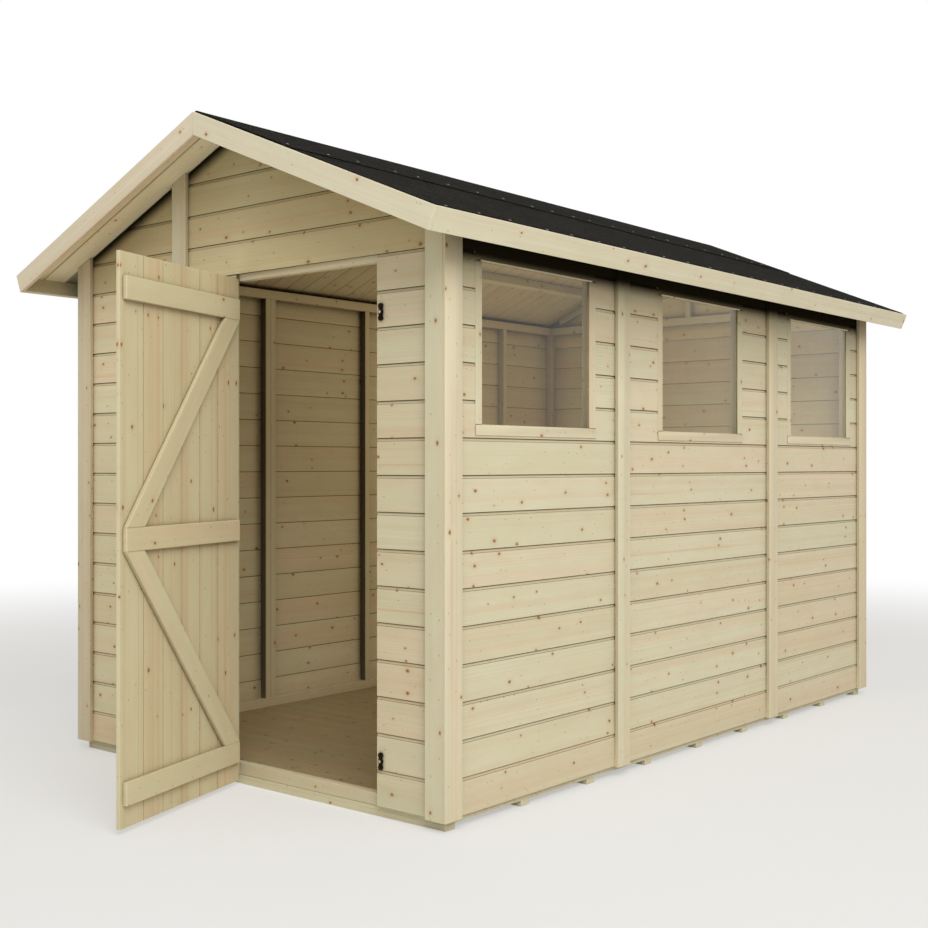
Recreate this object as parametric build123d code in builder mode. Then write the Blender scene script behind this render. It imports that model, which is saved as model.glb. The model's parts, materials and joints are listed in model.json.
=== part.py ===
from build123d import *
import os
from math import atan2, cos, radians, sin, tan

os.makedirs("parts", exist_ok=True)

# Walls. All sizes are in millimetres and all angles in degrees.
shed_width = 1847.0  # over the corner strips
shed_length = 3049.0  # over the corner strips
board_cover = 112.5  # height that one wall board covers
wall_courses = 16  # boards in the height of a side wall
door_courses = 15  # boards from the wall's foot to the doorway's head
cladding_thickness = 12.0
cladding_drop = 4.0  # rise of the wall's foot over the floor's top face

# Strips over the corners and the joints between wall panels
strip_thickness = 15.0
corner_strip_width = 80.0
joint_strip_width = 75.0
strip_drop = 2.0  # how far the strips hang below the boards
end_panel_width = 612.0  # left panel of the front wall, over its corner strip
window_panel_length = 957.0  # first and last panels of the window wall
plain_panel_length = 924.0  # first and last panels of the plain wall

# Wall framing
timber_width = 28.0
timber_depth = 34.0
rail_height = 38.0

# Floor
bearer_count = 9
bearer_width = 45.0
bearer_height = 19.0
floor_board_thickness = 12.0

# Roof
roof_pitch = 22.73
eave_overhang = 122.5  # past the corner strips, measured level
gable_overhang = 185.0  # past the corner strips
roof_board_thickness = 12.0
trim_board_width = 70.0  # barge boards and fascias
trim_board_thickness = 15.0
felt_thickness = 3.0
ridge_strip_reach = 488.0  # ridge strip of felt, down each slope
purlin_down_slope = 560.0  # middle purlins, measured from the ridge
purlin_depth = 45.0

# Doorway and door
doorway_width = 659.0
latch_wall_width = 287.0  # front wall past the doorway, over its corner strip
door_gap_hinge = 6.0
door_gap_latch = 5.5
door_head_gap = 18.0
door_drop = 18.0  # the door's foot below the wall's foot
door_thickness = 12.0
door_open_angle = 72.2
door_stop_gap = 5.0
ledge_width = 70.0
ledge_thickness = 15.0
ledge_inset = 15.0
brace_width = 66.0
brace_thickness = 15.0
top_ledge_height = 1598.0  # middle of each ledge above the ground
middle_ledge_height = 860.0
bottom_ledge_height = 118.0
door_head_rail_lap = 20.0  # head rail seen below the boards over the doorway
door_sill_height = 39.0
hinge_stud_setback = 34.0  # jamb stud behind the hinges, from the doorway's edge

# Tee hinges
hinge_pin_radius = 3.0
hinge_barrel_radius = 6.0
hinge_pin_play = 0.1
hinge_pin_stand = 7.5  # pin's axis in front of the boards' face
hinge_pin_across = 2.0  # pin's axis past the doorway's left edge
hinge_leaf_thickness = 3.0
hinge_strap_length = 290.0
hinge_strap_tip = 16.0
hinge_plate_height = 96.0
hinge_plate_width = 34.0
hinge_knuckle = 30.0
hinge_knuckle_gap = 1.0

# Turn buttons
button_length = 54.0
button_waist = 11.0
button_end_radius = 8.5
button_thickness = 5.0
button_stand = 2.0
button_across = 18.5  # screw's axis past the doorway's right edge
button_screw_radius = 2.5
button_screw_play = 0.1
button_head_radius = 4.5
button_head_height = 2.0
upper_button_height = 1545.5
lower_button_height = 176.0

# Windows
glass_width = 581.0
glass_height = 487.0
glass_foot = 1202.0  # lower edge of the seen glass above the ground
glass_thickness = 3.0
glass_inset = 4.0  # the pane's face behind the boards' face
glass_rebate = 7.0
window_stile_width = 31.0
window_stile_stand = 6.0  # in front of the boards' face
window_sill_height = 34.0
window_sill_stand = 14.0
window_head_height = 34.0
window_head_stand = 15.0

seat = 0.2  # gap between a piece and what it rests on

# Heights
floor_top = bearer_height + floor_board_thickness
wall_foot = floor_top + cladding_drop
wall_top = wall_foot + wall_courses * board_cover
doorway_top = wall_foot + door_courses * board_cover

# Wall faces, measured from the middle of the plan
half_width = shed_width / 2
half_length = shed_length / 2
board_face_x = shed_width / 2 - strip_thickness
board_face_y = shed_length / 2 - strip_thickness
frame_face_x = board_face_x - cladding_thickness
frame_face_y = board_face_y - cladding_thickness
room_face_x = frame_face_x - timber_depth
room_face_y = frame_face_y - timber_depth

# Panel joints and the doorway's edges
end_joint_across = end_panel_width - half_width
window_joint_along = half_length - window_panel_length
plain_joint_along = half_length - plain_panel_length
doorway_right = half_width - latch_wall_width
doorway_left = doorway_right - doorway_width

# The roof's top plane starts at the ridge, straight over the middle of the plan.
pitch = radians(roof_pitch)
board_drop = (roof_board_thickness + seat) / cos(pitch)
ridge_height = wall_top + board_face_x * tan(pitch) + board_drop
slope_length = (shed_width / 2 + eave_overhang) / cos(pitch)
roof_half_length = shed_length / 2 + gable_overhang
deck_half_length = roof_half_length - trim_board_thickness


def keep(builder, label):
    """Name a finished piece and write it as its own file."""
    builder.part.label = label
    export_step(builder.part, f"parts/{label}.step")


def block(x_span, y_span, z_span):
    """Add a straight timber that fills three spans to the piece being made."""
    middle = [(span[0] + span[1]) / 2 for span in (x_span, y_span, z_span)]
    size = [span[1] - span[0] for span in (x_span, y_span, z_span)]
    with Locations(tuple(middle)):
        Box(*size)


def under_roof(across):
    """Height of the roof boards' underside at a distance from the ridge line."""
    return ridge_height - board_drop - abs(across) * tan(pitch)


def end_plane(face_y):
    """Upright plane across the shed, its sketch drawn as seen from the front."""
    return Plane.XZ.offset(-face_y)


def slope_plane(along):
    """Plane across the shed whose first axis runs down the right slope."""
    down = (cos(pitch), 0, -sin(pitch))
    return Plane(origin=(0, along, ridge_height), x_dir=down, z_dir=(0, -1, 0))


def slope_section(start, end, top, bottom):
    """Corners of a board's section on the right slope, cut plumb if it reaches the ridge."""
    lean = tan(pitch)
    top_start = -top * lean if start == 0 else start
    bottom_start = -bottom * lean if start == 0 else start
    return ((top_start, top), (end, top), (end, bottom), (bottom_start, bottom))


# Floor: bearers across the shed with boards over them
bearer_run = 2 * (frame_face_y - door_stop_gap) - bearer_width
bearer_spacing = bearer_run / (bearer_count - 1)
with BuildPart() as floor_bearers:
    with BuildSketch():
        with GridLocations(0, bearer_spacing, 1, bearer_count):
            Rectangle(2 * frame_face_x, bearer_width)
    extrude(amount=bearer_height)
keep(floor_bearers, "floor_bearers")

with BuildPart() as floor_boards:
    with BuildSketch(Plane.XY.offset(bearer_height)):
        Rectangle(2 * frame_face_x, 2 * (frame_face_y - door_stop_gap))
    extrude(amount=floor_board_thickness)
keep(floor_boards, "floor_boards")

# Side walls: three panels a side, and the right ones are cut for windows
def side_panels(joint_along):
    """Ends of a side wall's three panels, given how far its joints are from the middle."""
    return {
        "front": (-frame_face_y, -joint_along),
        "middle": (-joint_along, joint_along),
        "back": (joint_along, frame_face_y),
    }


for place, (start, end) in side_panels(plain_joint_along).items():
    with BuildPart() as left_panel:
        with BuildSketch(Plane.YZ.offset(-board_face_x)):
            with Locations(((start + end) / 2, (wall_foot + wall_top) / 2)):
                Rectangle(end - start, wall_top - wall_foot)
        extrude(amount=cladding_thickness)
    keep(left_panel, f"left_panel_{place}")

end_window_along = half_length - window_panel_length / 2
window_places = {"front": -end_window_along, "middle": 0.0, "back": end_window_along}
cut_width = glass_width + 2 * window_stile_width
cut_foot = glass_foot - window_sill_height
cut_top = glass_foot + glass_height + window_head_height
cut_middle = (cut_foot + cut_top) / 2
glass_middle = glass_foot + glass_height / 2
for place, (start, end) in side_panels(window_joint_along).items():
    with BuildPart() as right_panel:
        with BuildSketch(Plane.YZ.offset(frame_face_x)):
            with Locations(((start + end) / 2, (wall_foot + wall_top) / 2)):
                Rectangle(end - start, wall_top - wall_foot)
            with Locations((window_places[place], cut_middle)):
                Rectangle(cut_width + 2 * seat, cut_top - cut_foot + 2 * seat, mode=Mode.SUBTRACT)
        extrude(amount=cladding_thickness)
    keep(right_panel, f"right_panel_{place}")

# Front wall beside the doorway, with the gable over it, and the closed back wall
front_panels = {
    "front_panel_left": (-board_face_x, end_joint_across),
    "front_panel_hinge_side": (end_joint_across, doorway_left),
    "front_panel_latch_side": (doorway_right, board_face_x),
}
for label, (start, end) in front_panels.items():
    with BuildPart() as front_panel:
        with BuildSketch(end_plane(-frame_face_y)):
            with Locations(((start + end) / 2, (wall_foot + doorway_top) / 2)):
                Rectangle(end - start, doorway_top - wall_foot)
        extrude(amount=cladding_thickness)
    keep(front_panel, label)

with BuildPart() as back_wall:
    with BuildSketch(end_plane(board_face_y)):
        with Locations((0, (wall_foot + doorway_top) / 2)):
            Rectangle(2 * board_face_x, doorway_top - wall_foot)
    extrude(amount=cladding_thickness)
keep(back_wall, "back_wall")

for label, face in {"front_gable": -frame_face_y, "back_gable": board_face_y}.items():
    with BuildPart() as gable:
        with BuildSketch(end_plane(face)):
            with BuildLine():
                Polyline(
                    (-board_face_x, doorway_top),
                    (board_face_x, doorway_top),
                    (board_face_x, under_roof(board_face_x)),
                    (0, under_roof(0)),
                    (-board_face_x, under_roof(board_face_x)),
                    close=True,
                )
            make_face()
        extrude(amount=cladding_thickness)
    keep(gable, label)

# Side framing: studs stand between a bottom and a top rail, two at each panel joint
stud_foot = floor_top + rail_height
stud_head = wall_top - rail_height
stud_middle = (stud_foot + stud_head) / 2
stud_height = stud_head - stud_foot
side_frame_x = (frame_face_x + room_face_x) / 2
end_stud = frame_face_y - timber_width / 2
half_pair = timber_width / 2 + seat
plain_studs = [0.0, -end_stud, end_stud]
window_studs = [-end_stud, end_stud]
for side in (-1, 1):
    plain_studs.append(side * (plain_joint_along + frame_face_y) / 2)
    for nudge in (-half_pair, half_pair):
        plain_studs.append(side * plain_joint_along + nudge)
        window_studs.append(side * window_joint_along + nudge)
for along in window_places.values():
    window_studs += [along - cut_width / 2, along + cut_width / 2]

with BuildPart() as side_wall_studs:
    for side, studs in {-1: plain_studs, 1: window_studs}.items():
        with Locations(*[(side * side_frame_x, along, stud_middle) for along in studs]):
            Box(timber_depth, timber_width, stud_height)
keep(side_wall_studs, "side_wall_studs")

noggin_length = cut_width - timber_width - 2 * seat
with BuildPart() as side_wall_rails:
    for side in (-1, 1):
        for foot in (floor_top, stud_head):
            with Locations((side * side_frame_x, 0, foot + rail_height / 2)):
                Box(timber_depth, 2 * frame_face_y, rail_height)
    for along in window_places.values():
        for height in (glass_foot - window_sill_height, cut_top):
            with Locations((side_frame_x, along, height)):
                Box(timber_depth, noggin_length, timber_width)
keep(side_wall_rails, "side_wall_rails")

# End framing: the front has jamb studs, a sill and a head rail round the doorway
end_frame_y = (frame_face_y + room_face_y) / 2
head_rail_foot = doorway_top - door_head_rail_lap
front_studs = [
    doorway_left - hinge_stud_setback - timber_width / 2,
    doorway_right + timber_width / 2,
    end_joint_across - timber_width / 2 - seat,
    end_joint_across + timber_width / 2 + seat,
]
back_studs = [end_joint_across + timber_width, -end_joint_across - timber_width]
with BuildPart() as end_wall_studs:
    for side, studs in {-1: front_studs, 1: back_studs}.items():
        with Locations(*[(across, side * end_frame_y, stud_middle) for across in studs]):
            Box(timber_width, timber_depth, stud_height)
    post_foot = wall_top + seat
    post_head = under_roof(timber_width / 2) - timber_width / cos(pitch)
    for side in (-1, 1):
        with Locations((0, side * end_frame_y, (post_foot + post_head) / 2)):
            Box(timber_width, timber_depth, post_head - post_foot)
keep(end_wall_studs, "end_wall_studs")

with BuildPart() as end_wall_rails:
    rail_half = room_face_x - seat
    block((-rail_half, doorway_left), (-frame_face_y, -room_face_y), (floor_top, stud_foot))
    block((doorway_right, rail_half), (-frame_face_y, -room_face_y), (floor_top, stud_foot))
    block((-rail_half, rail_half), (-frame_face_y, -room_face_y), (stud_head, wall_top))
    block((-rail_half, rail_half), (room_face_y, frame_face_y), (floor_top, stud_foot))
    block((-rail_half, rail_half), (room_face_y, frame_face_y), (stud_head, wall_top))
keep(end_wall_rails, "end_wall_rails")

stop_front = -frame_face_y + door_stop_gap
doorway_span = (doorway_left + seat, doorway_right - seat)
stop_span = (stop_front, -room_face_y)
with BuildPart() as door_sill:
    block(doorway_span, stop_span, (floor_top, floor_top + door_sill_height))
keep(door_sill, "door_sill")

with BuildPart() as door_head_rail:
    block(doorway_span, stop_span, (head_rail_foot, head_rail_foot + rail_height))
keep(door_head_rail, "door_head_rail")

# Corner strips: one board on each face, joined along the corner
strip_foot = wall_foot - strip_drop
for label, side in {"front_corner_strips": -1, "back_corner_strips": 1}.items():
    with BuildPart() as corner_strips:
        with BuildSketch(Plane.XY.offset(strip_foot)):
            for turn in (-1, 1):
                with BuildLine():
                    Polyline(
                        (turn * half_width, side * half_length),
                        (turn * (half_width - corner_strip_width), side * half_length),
                        (turn * (half_width - corner_strip_width), side * board_face_y),
                        (turn * board_face_x, side * board_face_y),
                        (turn * board_face_x, side * (half_length - corner_strip_width)),
                        (turn * half_width, side * (half_length - corner_strip_width)),
                        close=True,
                    )
                make_face()
        extrude(amount=under_roof(half_width) - strip_foot)
    keep(corner_strips, label)

# Joint strips over the seams between panels
with BuildPart() as side_joint_strips:
    strip_x = board_face_x + strip_thickness / 2
    strip_top = under_roof(half_width)
    with BuildSketch(Plane.XY.offset(strip_foot)):
        for across, along in ((-strip_x, plain_joint_along), (strip_x, window_joint_along)):
            with Locations((across, -along), (across, along)):
                Rectangle(strip_thickness, joint_strip_width)
    extrude(amount=strip_top - strip_foot)
keep(side_joint_strips, "side_joint_strips")

with BuildPart() as end_joint_strips:
    for face in (-board_face_y, half_length):
        with BuildSketch(end_plane(face)):
            left = end_joint_across - joint_strip_width / 2
            right = end_joint_across + joint_strip_width / 2
            with BuildLine():
                Polyline(
                    (left, strip_foot),
                    (right, strip_foot),
                    (right, under_roof(right)),
                    (left, under_roof(left)),
                    close=True,
                )
            make_face()
        extrude(amount=strip_thickness)
keep(end_joint_strips, "end_joint_strips")

# Windows: two stiles between a sill and a head, and a pane in a rebate behind them
glass_face = board_face_x - glass_inset
for place, along in window_places.items():
    with BuildPart() as window_frame:
        with BuildSketch(Plane.YZ.offset(frame_face_x)):
            with Locations((along, cut_middle)):
                Rectangle(cut_width, cut_top - cut_foot)
            with Locations((along, glass_middle)):
                Rectangle(glass_width, glass_height, mode=Mode.SUBTRACT)
        extrude(amount=cladding_thickness + window_stile_stand)
        with BuildSketch(Plane.YZ.offset(board_face_x)):
            with Locations((along, glass_foot - window_sill_height / 2)):
                Rectangle(cut_width, window_sill_height)
        extrude(amount=window_sill_stand)
        with BuildSketch(Plane.YZ.offset(board_face_x)):
            with Locations((along, cut_top - window_head_height / 2)):
                Rectangle(cut_width, window_head_height)
        extrude(amount=window_head_stand)
        with BuildSketch(Plane.YZ.offset(glass_face + seat)):
            with Locations((along, glass_middle)):
                Rectangle(glass_width + 2 * glass_rebate, glass_height + 2 * glass_rebate)
        extrude(amount=-glass_thickness - 2 * seat, mode=Mode.SUBTRACT)
    keep(window_frame, f"window_frame_{place}")

    with BuildPart() as window_glass:
        with BuildSketch(Plane.YZ.offset(glass_face)):
            with Locations((along, glass_middle)):
                pane_play = 2 * (glass_rebate - seat)
                Rectangle(glass_width + pane_play, glass_height + pane_play)
        extrude(amount=-glass_thickness)
    keep(window_glass, f"window_glass_{place}")

# Roof boards, felt and fascias are made on the right slope and mirrored to the left.
# The felt lies on the boards between the trim boards, and a ridge strip laps over it.
deck_end = slope_length - trim_board_thickness
slope_pieces = {
    "roof_boards": (0, deck_end, 0, -roof_board_thickness),
    "roof_felt": (0, deck_end, felt_thickness, 0),
    "fascia": (deck_end, slope_length, 0, -trim_board_width),
}
for label, section in slope_pieces.items():
    with BuildPart() as right_piece:
        with BuildSketch(slope_plane(deck_half_length)):
            with BuildLine():
                Polyline(*slope_section(*section), close=True)
            make_face()
        extrude(amount=2 * deck_half_length)
    keep(right_piece, f"{label}_right")
    with BuildPart() as left_piece:
        mirror(right_piece.part, about=Plane.YZ)
    keep(left_piece, f"{label}_left")

with BuildPart() as ridge_felt:
    with BuildSketch(slope_plane(deck_half_length)):
        with BuildLine():
            section = (0, ridge_strip_reach, 2 * felt_thickness, felt_thickness)
            Polyline(*slope_section(*section), close=True)
        make_face()
    extrude(amount=2 * deck_half_length)
    mirror(about=Plane.YZ)
keep(ridge_felt, "ridge_felt_cap")

# Barge boards: a plumb cut at the peak and a square one at the eaves
for label, front in {"front": -deck_half_length, "back": roof_half_length}.items():
    with BuildPart() as right_barge:
        with BuildSketch(slope_plane(front)):
            with BuildLine():
                Polyline(*slope_section(0, slope_length, 0, -trim_board_width), close=True)
            make_face()
        extrude(amount=trim_board_thickness)
    keep(right_barge, f"{label}_barge_board_right")
    with BuildPart() as left_barge:
        mirror(right_barge.part, about=Plane.YZ)
    keep(left_barge, f"{label}_barge_board_left")

# Roof framing: a purlin half way down each slope, two at the ridge, rafters at the gables
roof_seat = roof_board_thickness + seat
purlin_half = room_face_y - seat
with BuildPart() as roof_purlins:
    with BuildSketch(slope_plane(purlin_half)):
        ridge_side = (roof_seat + purlin_depth) * tan(pitch) + seat
        for start in (ridge_side, purlin_down_slope):
            with BuildLine():
                section = (start, start + timber_width, -roof_seat, -roof_seat - purlin_depth)
                Polyline(*slope_section(*section), close=True)
            make_face()
    extrude(amount=2 * purlin_half)
    mirror(about=Plane.YZ)
keep(roof_purlins, "roof_purlins")

rafter_foot = (room_face_x - seat) / cos(pitch) - rail_height
with BuildPart() as gable_rafters:
    for front in (-room_face_y, frame_face_y):
        with BuildSketch(slope_plane(front)):
            with BuildLine():
                section = (rail_height, rafter_foot, -roof_seat, -roof_seat - timber_width)
                Polyline(*slope_section(*section), close=True)
            make_face()
        extrude(amount=timber_depth)
    mirror(about=Plane.YZ)
keep(gable_rafters, "gable_rafters")

# Door: its planes turn with it about the hinge pins' axis
pin_x = doorway_left + hinge_pin_across
pin_y = -board_face_y - hinge_pin_stand
turn = radians(door_open_angle)
along_door = (cos(turn), -sin(turn), 0)
out_of_door = (-sin(turn), -cos(turn), 0)
door_axis_plane = Plane(origin=(pin_x, pin_y, 0), x_dir=along_door, z_dir=out_of_door)
door_outside = door_axis_plane.offset(-hinge_pin_stand)
door_inside = door_outside.offset(-door_thickness)
door_start = door_gap_hinge - hinge_pin_across
door_end = doorway_width - door_gap_latch - hinge_pin_across
door_foot = wall_foot - door_drop
door_top = doorway_top - door_head_gap

with BuildPart() as door_boards:
    with BuildSketch(door_inside):
        with Locations(((door_start + door_end) / 2, (door_foot + door_top) / 2)):
            Rectangle(door_end - door_start, door_top - door_foot)
    extrude(amount=door_thickness)
keep(door_boards, "door_boards")

ledge_start = door_start + ledge_inset
ledge_end = door_end - ledge_inset
ledge_heights = (bottom_ledge_height, middle_ledge_height, top_ledge_height)
with BuildPart() as door_ledges:
    with BuildSketch(door_inside):
        for height in ledge_heights:
            with Locations(((ledge_start + ledge_end) / 2, height)):
                Rectangle(ledge_end - ledge_start, ledge_width)
    extrude(amount=-ledge_thickness)
keep(door_ledges, "door_ledges")

with BuildPart() as door_braces:
    for low, high in zip(ledge_heights, ledge_heights[1:]):
        foot = low + ledge_width / 2 + seat
        head = high - ledge_width / 2 - seat
        climb = 1 if high == middle_ledge_height else -1
        start = ledge_start if climb > 0 else ledge_end
        finish = ledge_end if climb > 0 else ledge_start
        lean = atan2(head - foot, ledge_end - ledge_start)
        flat = climb * brace_width / sin(lean)
        with BuildSketch(door_inside):
            with BuildLine():
                Polyline(
                    (start, foot),
                    (start + flat, foot),
                    (finish, head),
                    (finish - flat, head),
                    close=True,
                )
            make_face()
        extrude(amount=-brace_thickness)
keep(door_braces, "door_braces")

# Tee hinges: the strap's barrel turns on a pin held by the plate's two barrels
half_knuckle = hinge_knuckle / 2
plate_half = hinge_plate_height / 2
with BuildPart() as hinge_straps:
    for height in ledge_heights:
        with BuildSketch(door_outside):
            with BuildLine():
                Polyline(
                    (0, height - half_knuckle),
                    (hinge_strap_length, height - hinge_strap_tip / 2),
                    (hinge_strap_length, height + hinge_strap_tip / 2),
                    (0, height + half_knuckle),
                    close=True,
                )
            make_face()
        extrude(amount=hinge_leaf_thickness)
        with BuildSketch(Plane.XY.offset(height - half_knuckle)):
            with Locations((pin_x, pin_y)):
                Circle(hinge_barrel_radius)
        extrude(amount=hinge_knuckle)
        with BuildSketch(Plane.XY.offset(height - half_knuckle)):
            with Locations((pin_x, pin_y)):
                Circle(hinge_pin_radius + hinge_pin_play)
        extrude(amount=hinge_knuckle, mode=Mode.SUBTRACT)
keep(hinge_straps, "hinge_straps")

plate_edge = pin_x - hinge_barrel_radius - hinge_knuckle_gap
with BuildPart() as hinge_plates:
    for height in ledge_heights:
        with BuildSketch(end_plane(-board_face_y)):
            with Locations((plate_edge - hinge_plate_width / 2, height)):
                Rectangle(hinge_plate_width, hinge_plate_height)
        extrude(amount=hinge_leaf_thickness)
        for foot in (height - plate_half, height + half_knuckle + hinge_knuckle_gap):
            knuckle = plate_half - half_knuckle - hinge_knuckle_gap
            block(
                (plate_edge - hinge_leaf_thickness, pin_x),
                (-board_face_y - hinge_pin_stand, -board_face_y),
                (foot, foot + knuckle),
            )
            with BuildSketch(Plane.XY.offset(foot)):
                with Locations((pin_x, pin_y)):
                    Circle(hinge_barrel_radius)
            extrude(amount=knuckle)
        with BuildSketch(Plane.XY.offset(height - plate_half)):
            with Locations((pin_x, pin_y)):
                Circle(hinge_pin_radius)
        extrude(amount=hinge_plate_height)
keep(hinge_plates, "hinge_plates")

# Turn buttons: a dog-bone plate that turns on a screw beside the doorway
button_x = doorway_right + button_across
button_back = -board_face_y - button_stand
button_front = button_back - button_thickness
end_offset = button_length / 2 - button_end_radius
button_heights = {"upper_turn_button": upper_button_height, "lower_turn_button": lower_button_height}
for label, height in button_heights.items():
    with BuildPart() as turn_button:
        with BuildSketch(end_plane(button_back)):
            with Locations((button_x, height)):
                Rectangle(button_waist, 2 * end_offset)
            with Locations((button_x, height - end_offset), (button_x, height + end_offset)):
                Circle(button_end_radius)
            with Locations((button_x, height)):
                Circle(button_end_radius)
                Circle(button_screw_radius + button_screw_play, mode=Mode.SUBTRACT)
        extrude(amount=button_thickness)
    keep(turn_button, label)

with BuildPart() as button_screws:
    for height in button_heights.values():
        with BuildSketch(end_plane(-board_face_y)):
            with Locations((button_x, height)):
                Circle(button_screw_radius)
        extrude(amount=button_stand + button_thickness + seat)
        with BuildSketch(end_plane(button_front - seat)):
            with Locations((button_x, height)):
                Circle(button_head_radius)
        extrude(amount=button_head_height)
keep(button_screws, "button_screws")

print("overall height", round(ridge_height + 2 * felt_thickness / cos(pitch), 1), "mm")
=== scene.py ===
"""Timber garden shed with shiplap walls, a ledged and braced door, three fixed windows
and a felted apex roof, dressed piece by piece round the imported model."""

import json
import math
import random

import bmesh
import bpy
from mathutils import Matrix, Vector, noise


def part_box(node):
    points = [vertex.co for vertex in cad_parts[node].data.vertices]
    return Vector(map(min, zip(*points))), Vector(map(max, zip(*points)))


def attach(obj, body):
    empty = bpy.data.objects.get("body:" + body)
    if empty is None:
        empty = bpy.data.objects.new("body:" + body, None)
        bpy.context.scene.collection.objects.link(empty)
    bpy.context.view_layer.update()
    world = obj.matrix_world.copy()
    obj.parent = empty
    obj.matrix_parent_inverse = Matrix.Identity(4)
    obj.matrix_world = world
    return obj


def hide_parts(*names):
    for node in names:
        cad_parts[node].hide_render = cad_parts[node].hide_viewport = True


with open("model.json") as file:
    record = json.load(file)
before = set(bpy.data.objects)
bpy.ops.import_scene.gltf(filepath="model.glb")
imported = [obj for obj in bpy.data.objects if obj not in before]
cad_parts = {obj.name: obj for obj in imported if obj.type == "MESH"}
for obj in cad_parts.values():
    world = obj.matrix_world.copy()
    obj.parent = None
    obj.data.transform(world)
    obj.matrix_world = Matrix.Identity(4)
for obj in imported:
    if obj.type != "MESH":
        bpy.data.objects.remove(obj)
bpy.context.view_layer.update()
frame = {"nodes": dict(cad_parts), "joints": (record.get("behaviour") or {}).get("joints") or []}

bl_info = {
    "name": "Garden Shed",
    "version": (1, 0, 0),
    "blender": (4, 5, 0),
    "location": "View3D > Sidebar > Shed",
    "description": "Dresses a packed garden shed with boards, trim, felt, glass and ironwork",
    "category": "Add Mesh",
}

X, Y, Z = Vector((1, 0, 0)), Vector((0, 1, 0)), Vector((0, 0, 1))
HAIR = 0.0002  # play between neighbouring timbers
SKIN = 0.007  # depth behind a wall's outer face that the shade under the eaves reaches
UPPER_SPARE = 0.03  # length that strips and roof boards run on before they are cut
STRIP_EASE = 0.0012  # chamfer of strips and framing

CORNER_WIDTH = 0.080
TRIM_THICKNESS = 0.015  # corner strips, barge boards and fascias
TRIM_WIDTH = 0.070  # barge boards and fascias
TIMBER = 0.028  # thickness of the framing
RAFTER_DEPTH = 0.034
RAFTER_START = 0.038  # down the slope from the ridge
PURLIN_DEPTH = 0.045
PURLIN_DOWN_SLOPE = 0.560
ROOF_BOARD = 0.012  # thickness of the roof boards
ROOF_SEAT = 0.0122  # depth under the ridge line at which the roof timbers start

LEAF_START, LEAF_END = 0.0040, 0.6515  # the door's boards, measured from the hinge pin
LEAF_THICKNESS = 0.012
LEAF_BACK = 0.0195  # the boards' inner face, measured from the pin
LEDGE_WIDTH = 0.070
LEDGE_THICKNESS = 0.015
LEDGE_INSET = 0.015
BRACE_WIDTH = 0.066
LEAF_JOINTS = (0.0, 0.198, 0.360, 0.513, 0.667, 0.821, 1.0)  # shares of the door's width

PANE_LAP = 0.0068  # the pane's edge hidden in its frame
LINING = 0.006  # boards round the window's inner edge
BEAD_INSET = 0.024  # the bead over the pane starts that far within the frame's end
FRAME_EASE = 0.0006

FELT_THICKNESS = 0.003
FELT_COLUMNS, FELT_ROWS = 96, 30
RIDGE_REACH = 0.488  # the ridge strip's edge, down the slope
NAIL_HEIGHT = 0.0011
NAIL_MARGIN = 0.06  # the first nail, from the front edge
STRIP_SCREW = 0.0036  # radius of the screws in the strips
SCREW_HEIGHT = 0.0008
STRAP_SCREWS = (0.045, 0.110, 0.180, 0.262)  # along a hinge strap, from the pin
NAIL_LINES = ((0.400, 0.0052), (1.105, 0.0024))  # down the slope, and height over the boards


def box(node):
    """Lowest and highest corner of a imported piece."""
    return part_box(node)


def slope_axes(lean, side):
    """Directions down a roof slope and out of it."""
    down = Vector((side * math.cos(lean), 0, -math.sin(lean)))
    return down, Vector((side * math.sin(lean), 0, math.cos(lean)))


def facing(origin, along, across):
    """Matrix whose axes run along the grain, across the board and out of its face."""
    out = along.cross(across)
    rows = [[along[i], across[i], out[i], origin[i]] for i in range(3)]
    return Matrix(rows + [[0, 0, 0, 1]])


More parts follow.
